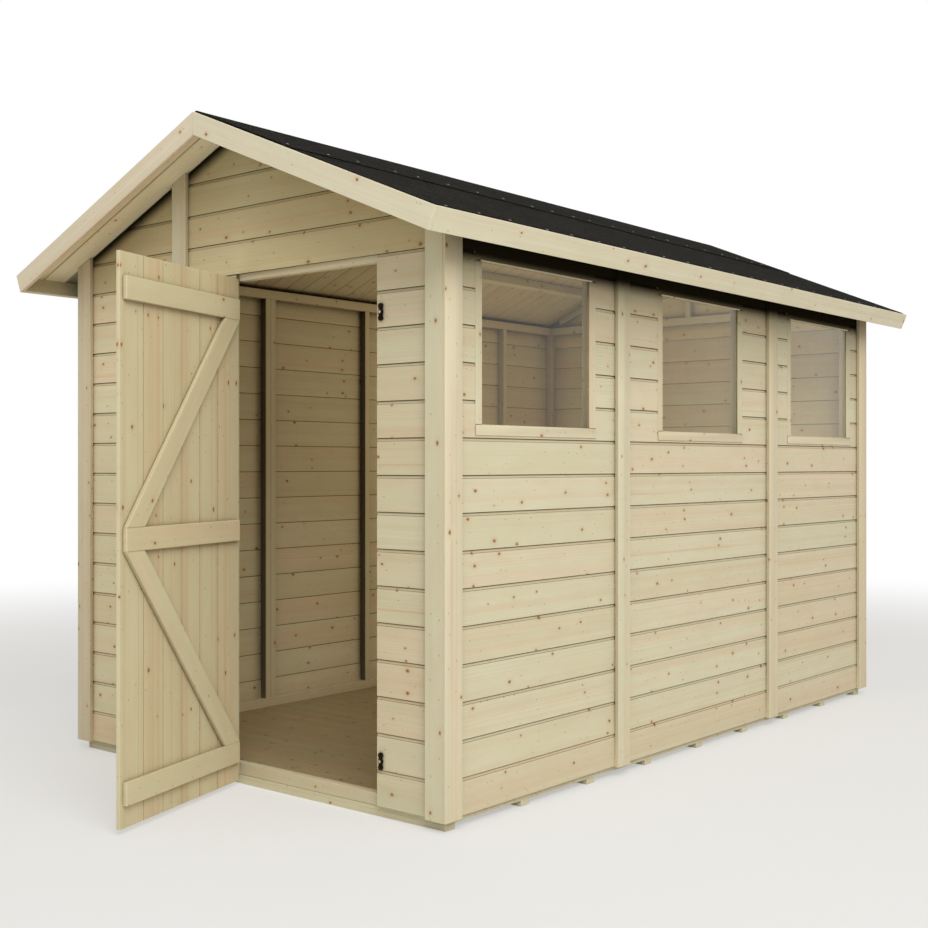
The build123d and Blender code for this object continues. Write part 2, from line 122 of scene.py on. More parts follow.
class Joinery:
    """Collects boards into one piece, and keeps each board's own grain coordinates."""

    def __init__(self, name, seed, eave=None, slopes=()):
        self.name = name
        self.eave_height = eave
        self.slopes = slopes
        self.chance = random.Random(seed)
        self.bm = bmesh.new()
        self.grain = self.bm.verts.layers.float_vector.new("grain")
        self.tone = self.bm.verts.layers.float.new("tone")
        self.nook = self.bm.verts.layers.float.new("nook")
        self.eave = self.bm.verts.layers.float.new("eave")

    def add(self, section, length, place, cuts=(), ease=0.0):
        """One board: a section (across, out[, shade]) run along the grain, cut and placed."""
        board = bmesh.new()
        nook = board.verts.layers.float.new("nook")
        near = [board.verts.new((0, point[0], point[1])) for point in section]
        far = [board.verts.new((length, point[0], point[1])) for point in section]
        for ring in (near, far):
            for vert, point in zip(ring, section):
                vert[nook] = point[2] if len(point) > 2 else 0.0
        board.faces.new(near)
        board.faces.new(far)
        for i in range(len(section)):
            j = (i + 1) % len(section)
            board.faces.new((near[i], near[j], far[j], far[i]))
        board.transform(place)
        for point, normal in cuts:
            every = board.verts[:] + board.edges[:] + board.faces[:]
            bmesh.ops.bisect_plane(
                board, geom=every, plane_co=point, plane_no=normal, clear_outer=True
            )
            rim = [e for e in board.edges if e.is_boundary]
            if rim:
                bmesh.ops.holes_fill(board, edges=rim, sides=0)
        if self.slopes:
            every = board.verts[:] + board.edges[:] + board.faces[:]
            bmesh.ops.bisect_plane(board, geom=every, plane_co=self.slopes[0][0], plane_no=X)
        bmesh.ops.recalc_face_normals(board, faces=board.faces)
        if ease:
            sharp = [e for e in board.edges if e.calc_face_angle(0) > 0.5]
            bmesh.ops.bevel(board, geom=sharp, offset=ease, segments=1, affect="EDGES")
        back = place.inverted()
        shift = Vector(
            (
                self.chance.uniform(-9, 9),
                self.chance.uniform(-0.16, 0.16),
                self.chance.uniform(0.02, 0.11),
            )
        )
        tone = self.chance.random()
        copies = {}
        outer = box("right_panel_front")[1].x - SKIN
        outer_end = abs(box("front_gable")[0].y) - SKIN
        for vert in board.verts:
            copy = self.bm.verts.new(vert.co)
            copy[self.grain] = back @ vert.co + shift
            copy[self.tone] = tone
            copy[self.nook] = vert[nook]
            # The eave attribute sets where painted shade is laid: height under the fascias on a side wall's
            # outer skin, distance under the roof planes on a gable's outer skin, and -1 elsewhere.
            copy[self.eave] = -1.0
            if self.eave_height is not None and abs(vert.co.x) > outer:
                copy[self.eave] = vert.co.z - self.eave_height
            if self.slopes and abs(vert.co.y) > outer_end:
                copy[self.eave] = max((vert.co - point).dot(normal) for point, normal in self.slopes)
            copies[vert] = copy
        for face in board.faces:
            self.bm.faces.new([copies[v] for v in face.verts])
        board.free()

    def batten(self, low, high, along, cuts=(), ease=0.0008):
        """A straight timber that fills a box, its grain along the named axis."""
        size = high - low
        if along == "x":
            place = facing(low, X, Y)
            length, width, depth = size.x, size.y, size.z
        elif along == "y":
            place = facing(low, Y, Z)
            length, width, depth = size.y, size.z, size.x
        else:
            place = facing(low, Z, X)
            length, width, depth = size.z, size.x, size.y
        self.add(oblong(width, depth), length, place, cuts, ease)

    def finish(self, context, look, node, slot, body="shed"):
        """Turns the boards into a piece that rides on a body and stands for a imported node."""
        bmesh.ops.recalc_face_normals(self.bm, faces=self.bm.faces)
        return piece(self.name, self.bm, finish(context, look), body, [node])


def oblong(width, depth):
    """Section of a squared timber."""
    return [(0, 0), (width, 0), (width, depth), (0, depth)]


def piece(name, bm, material, body, nodes, smooth=35):
    """A finished mesh as a piece on its body."""
    mesh = bpy.data.meshes.new(name)
    bm.to_mesh(mesh)
    bm.free()
    mesh.materials.append(material)
    mesh.shade_smooth()
    mesh.set_sharp_from_angle(angle=math.radians(smooth))
    made = bpy.data.objects.new(name, mesh)
    bpy.context.scene.collection.objects.link(made)
    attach(made, body)
    if nodes:
        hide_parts(*nodes)
    return made


class Finish:
    """A node material in the making."""

    def __init__(self, name, owner=None):
        self.material = owner or bpy.data.materials.new(name)
        self.material.use_nodes = True
        self.tree = self.material.node_tree
        self.tree.nodes.clear()

    def put(self, kind, inputs=None, **settings):
        made = self.tree.nodes.new(kind)
        for key, value in settings.items():
            setattr(made, key, value)
        for key, value in (inputs or {}).items():
            socket = made.inputs[key]
            if isinstance(value, bpy.types.NodeSocket):
                self.tree.links.new(value, socket)
            else:
                socket.default_value = value
        return made

    def sum(self, operation, a, b=0.0, clamp=False):
        made = self.put("ShaderNodeMath", {0: a, 1: b}, operation=operation)
        made.use_clamp = clamp
        return made.outputs[0]

    def vector(self, operation, a, b):
        made = self.put("ShaderNodeVectorMath", {0: a, 1: b}, operation=operation)
        return made.outputs["Value" if operation == "LENGTH" else "Vector"]

    def noise(self, vector, scale, detail=2.0, rough=0.5):
        values = {"Vector": vector, "Scale": scale, "Detail": detail, "Roughness": rough}
        return self.put("ShaderNodeTexNoise", values).outputs["Fac"]

    def span(self, value, low, high, to_low=0.0, to_high=1.0, smooth=False):
        kind = "SMOOTHSTEP" if smooth else "LINEAR"
        values = {0: value, 1: low, 2: high, 3: to_low, 4: to_high}
        return self.put("ShaderNodeMapRange", values, interpolation_type=kind).outputs[0]

    def blend(self, share, a, b, how="MIX"):
        made = self.put("ShaderNodeMix", data_type="RGBA", blend_type=how)
        for socket, value in ((made.inputs[0], share), (made.inputs[6], a), (made.inputs[7], b)):
            if isinstance(value, bpy.types.NodeSocket):
                self.tree.links.new(value, socket)
            else:
                socket.default_value = value
        return made.outputs[2]

    def surface(self, values):
        shader = self.put("ShaderNodeBsdfPrincipled", values)
        self.put("ShaderNodeOutputMaterial", {"Surface": shader.outputs[0]})
        return self.material


def rgba(colour, level=1.0):
    return (colour[0] * level, colour[1] * level, colour[2] * level, 1.0)


def watched(f):
    """1 where the eye looks, straight or through a pane or a mirror, and 0 for light that falls."""
    path = f.put("ShaderNodeLightPath").outputs
    seen = f.sum("MAXIMUM", path["Is Camera Ray"], path["Is Glossy Ray"])
    return f.sum("MAXIMUM", seen, path["Is Transmission Ray"])


def paint(node, material):
    """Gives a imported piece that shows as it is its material."""
    slots = frame["nodes"][node].data.materials
    slots.clear()
    slots.append(material)


def timber_finish(
    name, settings, level=1.0, knots=0.5, warmth=0.0, shading=1.0, cast=(1.0, 1.0, 1.0), figure=1.0
):
    """Pale treated softwood with growth rings, streaks and knots that run through the board."""
    f = Finish(name)

    def coat(share, under, colour, strength=level):
        """Lays one more colour over the wood so far."""
        return f.blend(share, under, rgba(colour, strength))

    def drawn(stretch, start=None, rough=0.5, detail=2.0):
        """Noise stretched along the rings and streaks."""
        where = f.vector("MULTIPLY", flow, stretch)
        return f.noise(f.vector("ADD", where, start) if start else where, 1.0, detail, rough)

    def around(near, far, edge=0.0):
        """1 at a knot's middle and 0 away from it, given in shares of its radius."""
        inner = f.sum("MULTIPLY", radius, near) if near else 0.0
        reach = f.sum("MULTIPLY", radius, far)
        reach = f.sum("ADD", reach, edge) if edge else reach
        return f.sum("MULTIPLY", f.span(distance, inner, reach, 1.0, 0.0, True), live)

    grain = f.put("ShaderNodeAttribute", attribute_name="grain").outputs["Vector"]
    tone = f.put("ShaderNodeAttribute", attribute_name="tone").outputs["Fac"]
    nook = f.put("ShaderNodeAttribute", attribute_name="nook").outputs["Fac"]
    # Knots stand in cells stretched along the grain, and their distance is a real one.
    cell = (0.12, 0.050, 0.0)
    axes = f.put("ShaderNodeSeparateXYZ", {"Vector": grain}).outputs
    spread = f.sum("ADD", axes["Y"], axes["Z"])
    flat = f.put("ShaderNodeCombineXYZ", {"X": axes["X"], "Y": spread}).outputs[0]
    scaled = f.vector("MULTIPLY", flat, (1 / cell[0], 1 / cell[1], 0.0))
    cells = f.put("ShaderNodeTexVoronoi", {"Vector": scaled, "Scale": 1.0}, voronoi_dimensions="2D")
    away = f.vector("SUBTRACT", cells.outputs["Position"], scaled)
    away = f.vector("MULTIPLY", away, (cell[0] * 0.72, cell[1], 0.0))
    distance = f.vector("LENGTH", away, (0.0, 0.0, 0.0))
    wobble = f.noise(f.vector("MULTIPLY", grain, (1.0, 1.0, 0.2)), 260.0, 2.0)
    distance = f.sum("ADD", distance, f.sum("MULTIPLY", f.sum("SUBTRACT", wobble, 0.5), 0.005))
    luck = f.put("ShaderNodeSeparateColor", {"Color": cells.outputs["Color"]}).outputs["Red"]
    radius = f.span(luck, 1.0 - knots, 1.0, 0.0016, settings.knot_radius)
    live = f.span(luck, 1.0 - knots, 1.03 - knots, 0.0, 1.0)
    core = around(0.35, 0.8)
    ring = around(0.7, 1.45)
    halo = around(0.0, 4.0, 0.002)
    # The rings bend round a knot and wander slowly along the board.
    bend = f.put("ShaderNodeCombineXYZ", {"Y": f.sum("MULTIPLY", halo, 0.007)}).outputs[0]
    flow = f.vector("ADD", f.vector("MULTIPLY", grain, (0.10, 1.0, 1.0)), bend)
    wave = f.put(
        "ShaderNodeTexWave",
        {"Vector": flow, "Scale": 62.0, "Distortion": 5.0, "Detail": 2.0, "Detail Scale": 0.12},
        wave_type="RINGS",
        rings_direction="X",
        wave_profile="SAW",
    ).outputs["Fac"]
    streak = drawn((5.0, 38.0, 38.0), rough=0.55, detail=3.0)
    fibre = drawn((60.0, 900.0, 900.0), rough=0.6)
    warm = f.sum("ADD", f.span(streak, 0.38, 0.66, -0.28, 0.50), f.span(tone, 0.0, 1.0, -0.25, 0.65))
    warm = f.sum("ADD", warm, warmth, True)
    wood = f.blend(warm, rgba(settings.pale, level), rgba(settings.ruddy, level))
    age = f.sum("FRACT", f.sum("MULTIPLY", tone, 7.3))
    wood = coat(f.span(age, 0.0, 1.0, 0.0, 0.16), wood, settings.late_wood)
    wood = f.blend(1.0, wood, (*cast, 1.0), "MULTIPLY")
    wood = coat(f.span(wave, 0.0, 1.0, 0.0, 0.20), wood, settings.late_wood)
    wood = coat(f.span(fibre, 0.35, 0.75, 0.0, 0.13), wood, settings.late_wood)
    vein = drawn((2.2, 130.0, 130.0), (5.0, 3.0, 0.0))
    vein = f.sum("MULTIPLY", f.span(vein, 0.63, 0.72), f.span(streak, 0.45, 0.60))
    wood = coat(f.sum("MULTIPLY", vein, 0.4), wood, settings.knot_glow)
    band = drawn((1.1, 26.0, 26.0), (2.0, 9.0, 4.0))
    wood = coat(f.span(band, 0.50, 0.68, 0.0, 0.20 * figure), wood, settings.stain)
    cloud = f.noise(f.vector("MULTIPLY", grain, (7.0, 22.0, 22.0)), 1.0, 2.0, 0.5)
    wood = coat(f.span(cloud, 0.35, 0.70, 0.14, 0.0), wood, settings.late_wood)
    specks = f.put(
        "ShaderNodeTexVoronoi",
        {"Vector": f.vector("MULTIPLY", flat, (17.0, 31.0, 0.0)), "Scale": 1.0},
        voronoi_dimensions="2D",
    )
    chosen = f.put("ShaderNodeSeparateColor", {"Color": specks.outputs["Color"]}).outputs["Green"]
    speck = f.span(specks.outputs["Distance"], 0.030, 0.075, 1.0, 0.0)
    speck = f.sum("MULTIPLY", speck, f.span(chosen, 0.70, 0.86))
    wood = coat(f.sum("MULTIPLY", speck, 0.62), wood, settings.speck)
    wood = coat(f.sum("MULTIPLY", halo, 0.22), wood, settings.knot_glow)
    wood = coat(f.sum("MULTIPLY", ring, 0.80), wood, settings.knot_rim)
    wood = coat(f.sum("MULTIPLY", core, 0.85), wood, settings.knot_heart)
    # Painted shade in the joints, grooves and hidden faces, where the nook attribute is set.
    wood = coat(f.sum("MULTIPLY", nook, 0.9, True), wood, settings.seam)
    # Close timbers shade each other, less so near the bright floor, and most under the eaves.
    reach = {"Distance": settings.shade_reach}
    shut = f.put("ShaderNodeAmbientOcclusion", reach, samples=3).outputs["AO"]
    place = f.put("ShaderNodeTexCoord").outputs["Object"]
    level_above = f.put("ShaderNodeSeparateXYZ", {"Vector": place}).outputs["Z"]
    share = f.span(level_above, 0.05, 0.22, 0.12 * shading, shading)
    soft = f.sum("MULTIPLY", f.span(shut, 0.42, 0.92, 0.62, 0.0), share)
    deep = f.sum("MULTIPLY", f.span(shut, 0.40, 0.62, 0.85, 0.0, True), share, True)
    eave = f.put("ShaderNodeAttribute", attribute_name="eave").outputs["Fac"]
    low = f.span(eave, -4.0 * settings.eave_shade, 0.0, 0.0, 0.50)
    near = f.span(eave, -0.55 * settings.eave_shade, -0.006, 0.0, 0.98, True)
    wood = coat(f.sum("MAXIMUM", soft, low), wood, settings.seam)
    wood = coat(f.sum("MULTIPLY", deep, 0.92), wood, settings.seam, 0.16)
    wood = coat(near, wood, settings.seam, 0.04)
    black = f.sum("MAXIMUM", deep, near)
    height = f.sum("ADD", f.sum("MULTIPLY", fibre, 0.5), f.sum("MULTIPLY", wave, 0.35))
    height = f.sum("SUBTRACT", height, f.sum("MULTIPLY", ring, 0.4))
    bump = f.put("ShaderNodeBump", {"Strength": 0.25, "Distance": 0.0004, "Height": height})
    return f.surface(
        {
            "Base Color": wood,
            "Roughness": f.span(fibre, 0.2, 0.8, 0.56, 0.74),
            "Normal": bump.outputs[0],
            "Specular IOR Level": f.span(black, 0.0, 0.8, 0.22, 0.0),
        }
    )


def felt_finish(name, settings):
    """Mineral felt: near-black granules with scattered paler ones."""
    f = Finish(name)
    place = f.put("ShaderNodeTexCoord").outputs["Object"]
    grit = f.put("ShaderNodeTexVoronoi", {"Vector": place, "Scale": 1.0 / settings.granule})
    shade = f.put("ShaderNodeSeparateColor", {"Color": grit.outputs["Color"]}).outputs["Red"]
    cloud = f.noise(place, 7.0, 3.0)
    colour = f.blend(f.span(shade, 0.55, 1.0, 0.0, 1.0), rgba(settings.felt), rgba(settings.felt_fleck))
    colour = f.blend(f.span(cloud, 0.35, 0.7, 0.0, 0.5), colour, rgba(settings.felt, 0.55))
    lumps = f.noise(place, 38.0, 4.0, 0.65)
    colour = f.blend(f.span(lumps, 0.52, 0.72, 0.0, 0.55), colour, rgba(settings.felt_fleck))
    rise = f.sum("ADD", f.sum("SUBTRACT", 1.0, grit.outputs["Distance"]), f.sum("MULTIPLY", lumps, 1.6))
    bump = f.put("ShaderNodeBump", {"Strength": 0.9, "Distance": 0.0025, "Height": rise})
    return f.surface(
        {
            "Base Color": colour,
            "Roughness": f.span(shade, 0.0, 1.0, 0.78, 0.96),
            "Normal": bump.outputs[0],
            "Specular IOR Level": 0.02,
        }
    )


def iron_finish(name, colour, worn, rough, metallic=1.0, grain_size=420.0):
    """Painted, bronzed or plated metal with worn high spots and a fine orange peel."""
    f = Finish(name)
    place = f.put("ShaderNodeTexCoord").outputs["Object"]
    wear = f.noise(place, 55.0, 4.0, 0.6)
    peel = f.noise(place, grain_size, 2.0)
    tint = f.blend(f.span(wear, 0.50, 0.72, 0.0, 0.6), rgba(colour), rgba(worn))
    bump = f.put("ShaderNodeBump", {"Strength": 0.2, "Distance": 0.0003, "Height": peel})
    return f.surface(
        {
            "Base Color": tint,
            "Metallic": metallic,
            "Roughness": f.span(wear, 0.3, 0.75, rough - 0.08, rough + 0.14),
            "Normal": bump.outputs[0],
        }
    )


def glass_finish(name, settings):
    """Thin clear pane: light passes straight through, and a little is mirrored."""
    f = Finish(name)
    place = f.put("ShaderNodeTexCoord").outputs["Object"]
    smear = f.noise(place, 18.0, 3.0)
    facing_away = f.put("ShaderNodeLayerWeight", {"Blend": 0.5}).outputs["Facing"]
    edge = f.span(f.sum("POWER", facing_away, 5.0), 0.0, 1.0, 0.022, 1.0)
    tint = f.blend(f.span(smear, 0.3, 0.8), rgba(settings.glass), rgba(settings.glass, 0.985))
    clear = f.put("ShaderNodeBsdfTransparent", {"Color": tint}).outputs[0]
    mirror = f.put(
        "ShaderNodeBsdfAnisotropic", {"Color": (1, 1, 1, 1), "Roughness": 0.03}
    ).outputs[0]
    mixed = f.put("ShaderNodeMixShader", {0: edge, 1: clear, 2: mirror})
    f.put("ShaderNodeOutputMaterial", {"Surface": mixed.outputs[0]})
    return f.material


def floor_finish(name, settings):
    """Pale studio floor that keeps the shed's shadow and fades to white far off."""
    f = Finish(name)
    place = f.put("ShaderNodeTexCoord").outputs["Object"]
    far = f.vector("LENGTH", place, (0.0, 0.0, 0.0))
    mottle = f.noise(place, 2.0, 2.0)
    tint = f.blend(f.span(mottle, 0.3, 0.7), rgba(settings.floor), rgba(settings.floor, 0.995))
    lit = f.put("ShaderNodeBsdfDiffuse", {"Color": tint}).outputs[0]
    glow = f.put("ShaderNodeEmission", {"Color": rgba(settings.glow), "Strength": 1.0}).outputs[0]
    white = f.put("ShaderNodeEmission", {"Color": (1, 1, 1, 1), "Strength": 1.0}).outputs[0]
    seen = watched(f)
    share = f.sum("MULTIPLY", seen, settings.evenness)
    even = f.put("ShaderNodeMixShader", {0: share, 1: lit, 2: glow}).outputs[0]
    fade = f.span(far, settings.fade_start, settings.fade_end, 0.0, 1.0, True)
    mixed = f.put("ShaderNodeMixShader", {0: f.sum("MULTIPLY", fade, seen), 1: even, 2: white})
    f.put("ShaderNodeOutputMaterial", {"Surface": mixed.outputs[0]})
    return f.material


def length(name, default, description):
    return bpy.props.FloatProperty(name=name, default=default, description=description, unit="LENGTH")


def colour(name, default, description):
    return bpy.props.FloatVectorProperty(
        name=name, default=default, description=description, subtype="COLOR", size=3, min=0, max=1
    )


def place(name, default, description):
    return bpy.props.FloatVectorProperty(
        name=name, default=default, description=description, subtype="TRANSLATION", size=3
    )


class ShedTimberSettings(bpy.types.PropertyGroup):
    """Sizes and colours of the boards and trim."""

    board_cover: length("Board cover", 0.1125, "Height that one wall board covers")
    cove_height: length("Cove height", 0.009, "Height of the hollow at a board's upper edge")
    cove_depth: length("Cove depth", 0.0034, "Depth of the hollow at a board's upper edge")
    seam_gap: length("Seam gap", 0.0010, "Gap under a board's lower edge")
    roof_board_cover: length("Roof board cover", 0.0916, "Width that one roof board covers")
    floor_board_cover: length("Floor board cover", 0.0945, "Width that one floor board covers")
    knot_radius: length("Knot radius", 0.0058, "Radius of the largest knots")
    pale: colour("Pale wood", (0.73, 0.70, 0.50), "Sapwood with a green cast")
    ruddy: colour("Ruddy wood", (0.77, 0.635, 0.455), "Heartwood with a pink cast")
    late_wood: colour("Late wood", (0.53, 0.42, 0.22), "Dark half of the growth rings")
    knot_glow: colour("Knot glow", (0.56, 0.34, 0.17), "Stain round a knot")
    knot_rim: colour("Knot rim", (0.46, 0.235, 0.095), "Red-brown rim of a knot")
    knot_heart: colour("Knot heart", (0.20, 0.085, 0.035), "Dark heart of a knot")
    stain: colour("Heart streaks", (0.60, 0.40, 0.235), "Brown-pink bands along the heartwood")
    speck: colour("Pin knots", (0.22, 0.17, 0.075), "Small knots scattered over the boards")
    # Painted shade: the colour laid into joints and grooves, into corners where timbers meet and under the
    # eaves.
    seam: colour("Painted shade colour", (0.20, 0.145, 0.055), "Shaded wood deep in the joints")
    shade_reach: length("Shade reach", 0.16, "Distance over which close timbers shade each other")
    eave_shade: length("Eave shade", 0.105, "Depth of the deep shade under the eaves")


class ShedRoofSettings(bpy.types.PropertyGroup):
    """The roof's slope and felt."""

    pitch: bpy.props.FloatProperty(
        name="Pitch", default=math.radians(22.73), subtype="ANGLE", description="Slope of the roof"
    )
    granule: length("Granule", 0.0055, "Size of the felt's mineral granules")
    nail_spacing: length("Nail spacing", 0.150, "Distance between the clout nails")
    nail_radius: length("Nail radius", 0.0048, "Radius of a clout nail's head")
    felt: colour("Felt", (0.0068, 0.0063, 0.0046), "Felt between its paler granules")
    felt_fleck: colour("Felt flecks", (0.036, 0.033, 0.026), "The paler granules")
    galvanised: colour("Galvanised", (0.36, 0.36, 0.35), "Clout nails and screws")


class ShedFittingSettings(bpy.types.PropertyGroup):
    """Glass and ironwork."""

    glass: colour("Glass", (0.97, 0.965, 0.92), "Tint of the panes")
    iron: colour("Iron", (0.018, 0.017, 0.016), "Black hinge coating")
    bronze: colour("Bronze", (0.016, 0.012, 0.009), "Dark bronze of the turn buttons")
    brass: colour("Brass", (0.72, 0.60, 0.42), "Screws through the turn buttons")
    screw_radius: length("Screw radius", 0.0042, "Radius of a countersunk screw's head")


class ShedStageSettings(bpy.types.PropertyGroup):
    """Floor, light and camera."""

    floor: colour("Floor", (0.80, 0.79, 0.765), "Pale studio floor")
    glow: colour("Floor glow", (0.90, 0.89, 0.865), "Even light that the floor keeps in the shed's shadow")
    evenness: bpy.props.FloatProperty(
        name="Evenness", default=0.5, subtype="FACTOR", description="Share of even light in the floor"
    )
    fade_start: length("Fade start", 3.0, "Distance at which the floor starts to turn white")
    fade_end: length("Fade end", 8.0, "Distance at which the floor is white")
    sky_level: bpy.props.FloatProperty(
        name="Sky level", default=0.50, subtype="FACTOR", description="Light of the studio dome"
    )
    lamp_power: bpy.props.FloatProperty(
        name="Lamp power", default=1000.0, unit="POWER", description="Power of the large softbox"
    )
    inner_power: bpy.props.FloatProperty(
        name="Inner power", default=11.0, unit="POWER", description="Power of the light within the shed"
    )
    lens: bpy.props.FloatProperty(
        name="Lens", default=50.42, unit="CAMERA", description="Focal length of the camera"
    )
    camera_turn: bpy.props.FloatProperty(
        name="Camera turn", default=math.radians(39.77), subtype="ANGLE", description="Heading of the camera"
    )
    camera_place: place("Camera place", (3.383, -4.394, 1.082), "Where the camera stands")
    lamp_place: place("Lamp place", (7.9, -6.0, 9.2), "Where the large softbox hangs")
    inner_place: place("Inner place", (0.25, 0.45, 1.25), "Middle of the light within the shed")


def eave_height():
    """Level at which the fascias end and the shade under them starts."""
    return box("fascia_right")[0].z


def settings(context, group):
    return getattr(context.scene, "shed_" + group)


# Woods by name: level, knots, warmth, shading, cast and figure of each.
WOODS = {
    "wall": ("Treated shiplap", 1.0, 0.32),
    "trim": ("Planed trim", 1.0, 0.22, 0.04, 0.35),
    # Painted shade: the door's wood is a warmer copy, standing in for shade and warm light bounced from the
    # wood; its stronger figure is the boards' own.
    "door": ("Door boards", 0.97, 0.28, 0.02, 0.65, (1.0, 0.955, 0.86), 2.4),
    "ledge": ("Ledges and braces", 1.0, 0.22, 0.0, 0.3, (1.0, 0.97, 0.90)),
    "framing": ("Wall framing", 0.95, 0.30, 0.0, 0.55),
    "bearers": ("Bearers", 1.0, 0.10, -0.2, 0.2),
    # Painted shade: a very dark wood for the front-facing sides of the studs near the door, where shade
    # falls.
    "painted_stud_shade": ("Sawn stud sides", 0.30, 0.1),
    # Painted light: a brighter copy with no painted shade for the door head rail, standing in for the light
    # it catches.
    "head": ("Door head", 1.15, 0.1, -0.2, 0.0),
    "floor": ("Floor boards", 0.58, 0.5, 0.1, 0.8, (1.0, 0.92, 0.75)),
    "roof": ("Roof boards", 0.95, 0.40, 0.05, 1.15),
    # Painted light: a much brighter copy of the roof boards' wood, with little painted shade, for the boards
    # under the overhangs.
    "soffit_with_painted_light": ("Soffit boards", 1.38, 0.40, 0.0, 0.1),
    "fascia": ("Fascia", 1.12, 0.22, -0.06, 0.3, (1.0, 0.99, 1.06)),
    # Painted light: a brighter, warmer copy of the wall wood for the front wall's left panel, beside the
    # door that shades it.
    "wall_with_painted_light": ("Sheltered shiplap", 1.14, 0.36, 0.1, 0.8, (1.0, 0.97, 0.90)),
    # Painted shade: a warmer copy of the wall wood for the gables, standing in for the warm shade under the
    # roof's overhang.
    "gable": ("Gable boards", 1.08, 0.42, 0.10, 0.7, (1.0, 0.965, 0.80)),
}

FINISHES = {}


def finish(context, key):
    """The material of that name, made once."""
    if key in FINISHES:
        return FINISHES[key]
    roof = settings(context, "roof")
    fittings = settings(context, "fittings")
    if key in WOODS:
        name, *values = WOODS[key]
        made = timber_finish(name, settings(context, "timber"), *values)
    elif key == "felt":
        made = felt_finish("Mineral felt", roof)
    elif key == "glass":
        made = glass_finish("Clear pane", fittings)
    else:
        metals = {
            "iron": ("Black iron", fittings.iron, (0.09, 0.085, 0.08), 0.46, 0.6),
            "bronze": ("Bronzed plate", fittings.bronze, (0.06, 0.038, 0.024), 0.45),
            "brass": ("Bright screws", fittings.brass, (0.82, 0.72, 0.55), 0.30),
            "galvanised": ("Galvanised nails", roof.galvanised, (0.50, 0.50, 0.48), 0.48),
        }
        made = iron_finish(*metals[key])
    FINISHES[key] = made
    return made


def shiplap(timber, depth):
    """Section of a wall board: groove below, hollow and tongue above, eased inner edges."""
    cover, rise, sink = timber.board_cover, timber.cove_height, timber.cove_depth
    lip = timber.seam_gap
    face = depth
    return [
        (lip + 0.0024, 0.0, 0.0),
        (lip + 0.0008, 0.0, 0.9),
        (lip, 0.0006, 1.0),
        (lip, 0.0032, 1.0),
        (0.0055, 0.0032, 1.0),
        (0.0055, 0.0066, 1.0),
        (lip, 0.0066, 1.0),
        (lip, face - 0.0009, 0.6),
        (lip + 0.0009, face, 0.0),
        (cover - rise - 0.0010, face, 0.0),
        (cover - rise - 0.0004, face - 0.0008, 0.9),
        (cover - rise + 0.0006, face - 0.0016, 0.9),
        (cover - rise + 0.0014, face - sink * 0.55, 0.10),
        (cover - rise * 0.35, face - sink * 0.92, 0.10),
        (cover - 0.0020, face - sink, 0.40),
        (cover - 0.0001, face - sink, 1.0),
        (cover - 0.0001, 0.0063, 1.0),
        (cover + 0.0042, 0.0063, 1.0),
        (cover + 0.0042, 0.0035, 1.0),
        (cover - 0.0001, 0.0035, 1.0),
        (cover - 0.0001, 0.0006, 0.9),
        (cover - 0.0012, 0.0, 0.0),
    ]


WALL_FACES = {"right": (Y, X), "left": (-Y, -X), "front": (X, -Y), "back": (-X, Y)}


def board_wall(joinery, timber, node, face, foot, opening=None, cuts=()):
    """Shiplap boards over a packed wall panel. An opening is (start, end, low, high)."""
    along, out = WALL_FACES[face]
    low, high = box(node)
    depth = abs((high - low).dot(out))
    ends = sorted((low.dot(along), high.dot(along)))
    inner = min(low.dot(out), high.dot(out))
    section = shiplap(timber, depth)
    course = math.floor((low.z - foot) / timber.board_cover + 0.01)
    top = (Vector((0, 0, high.z - HAIR)), Z)
    while foot + course * timber.board_cover < high.z - 0.002:
        level = foot + course * timber.board_cover
        upper = level + timber.board_cover
        runs = [(ends[0], ends[1], ())]
        if opening and level < opening[3] - 0.001 and upper > opening[2] + 0.001:
            runs = [(ends[0], opening[0], ()), (opening[1], ends[1], ())]
            middle = (opening[0] + HAIR, opening[1] - HAIR)
            if opening[2] - level > 0.003:
                runs.append((*middle, ((Vector((0, 0, opening[2])), Z),)))
            if upper - opening[3] > 0.003:
                runs.append((*middle, ((Vector((0, 0, opening[3])), -Z),)))
        for start, end, trim in runs:
            origin = along * start + out * inner + Z * level
            place = facing(origin, along, Z)
            joinery.add(section, end - start, place, (top, *trim, *cuts))
        course += 1


def roof_cuts(roof, gap=0.0004):
    """Planes just under the roof boards, which shape the tops of the gable boards."""
    drop = ROOF_BOARD / math.cos(roof.pitch) + gap
    peak = Vector((0, 0, box("roof_boards_right")[1].z - drop))
    return tuple((peak, slope_axes(roof.pitch, side)[1]) for side in (1, -1))


class SHED_OT_side_walls(bpy.types.Operator):
    """Shiplap boards of both side walls, cut round the windows on the right"""

    bl_idname = "shed.side_walls"
    bl_label = "Side walls"

    def execute(self, context):
        timber = settings(context, "timber")
        foot = box("left_panel_front")[0].z
        for place in ("front", "middle", "back"):
            left = Joinery(f"left_wall_boards_{place}", f"left {place}", eave_height())
            board_wall(left, timber, f"left_panel_{place}", "left", foot)
            left.finish(context, "wall", f"left_panel_{place}", "wall_wood")
            low, high = box(f"window_frame_{place}")
            opening = (low.y - HAIR, high.y + HAIR, low.z, high.z)
            right = Joinery(f"right_wall_boards_{place}", f"right {place}", eave_height())
            board_wall(right, timber, f"right_panel_{place}", "right", foot, opening)
            right.finish(context, "wall", f"right_panel_{place}", "wall_wood")
        return {"FINISHED"}


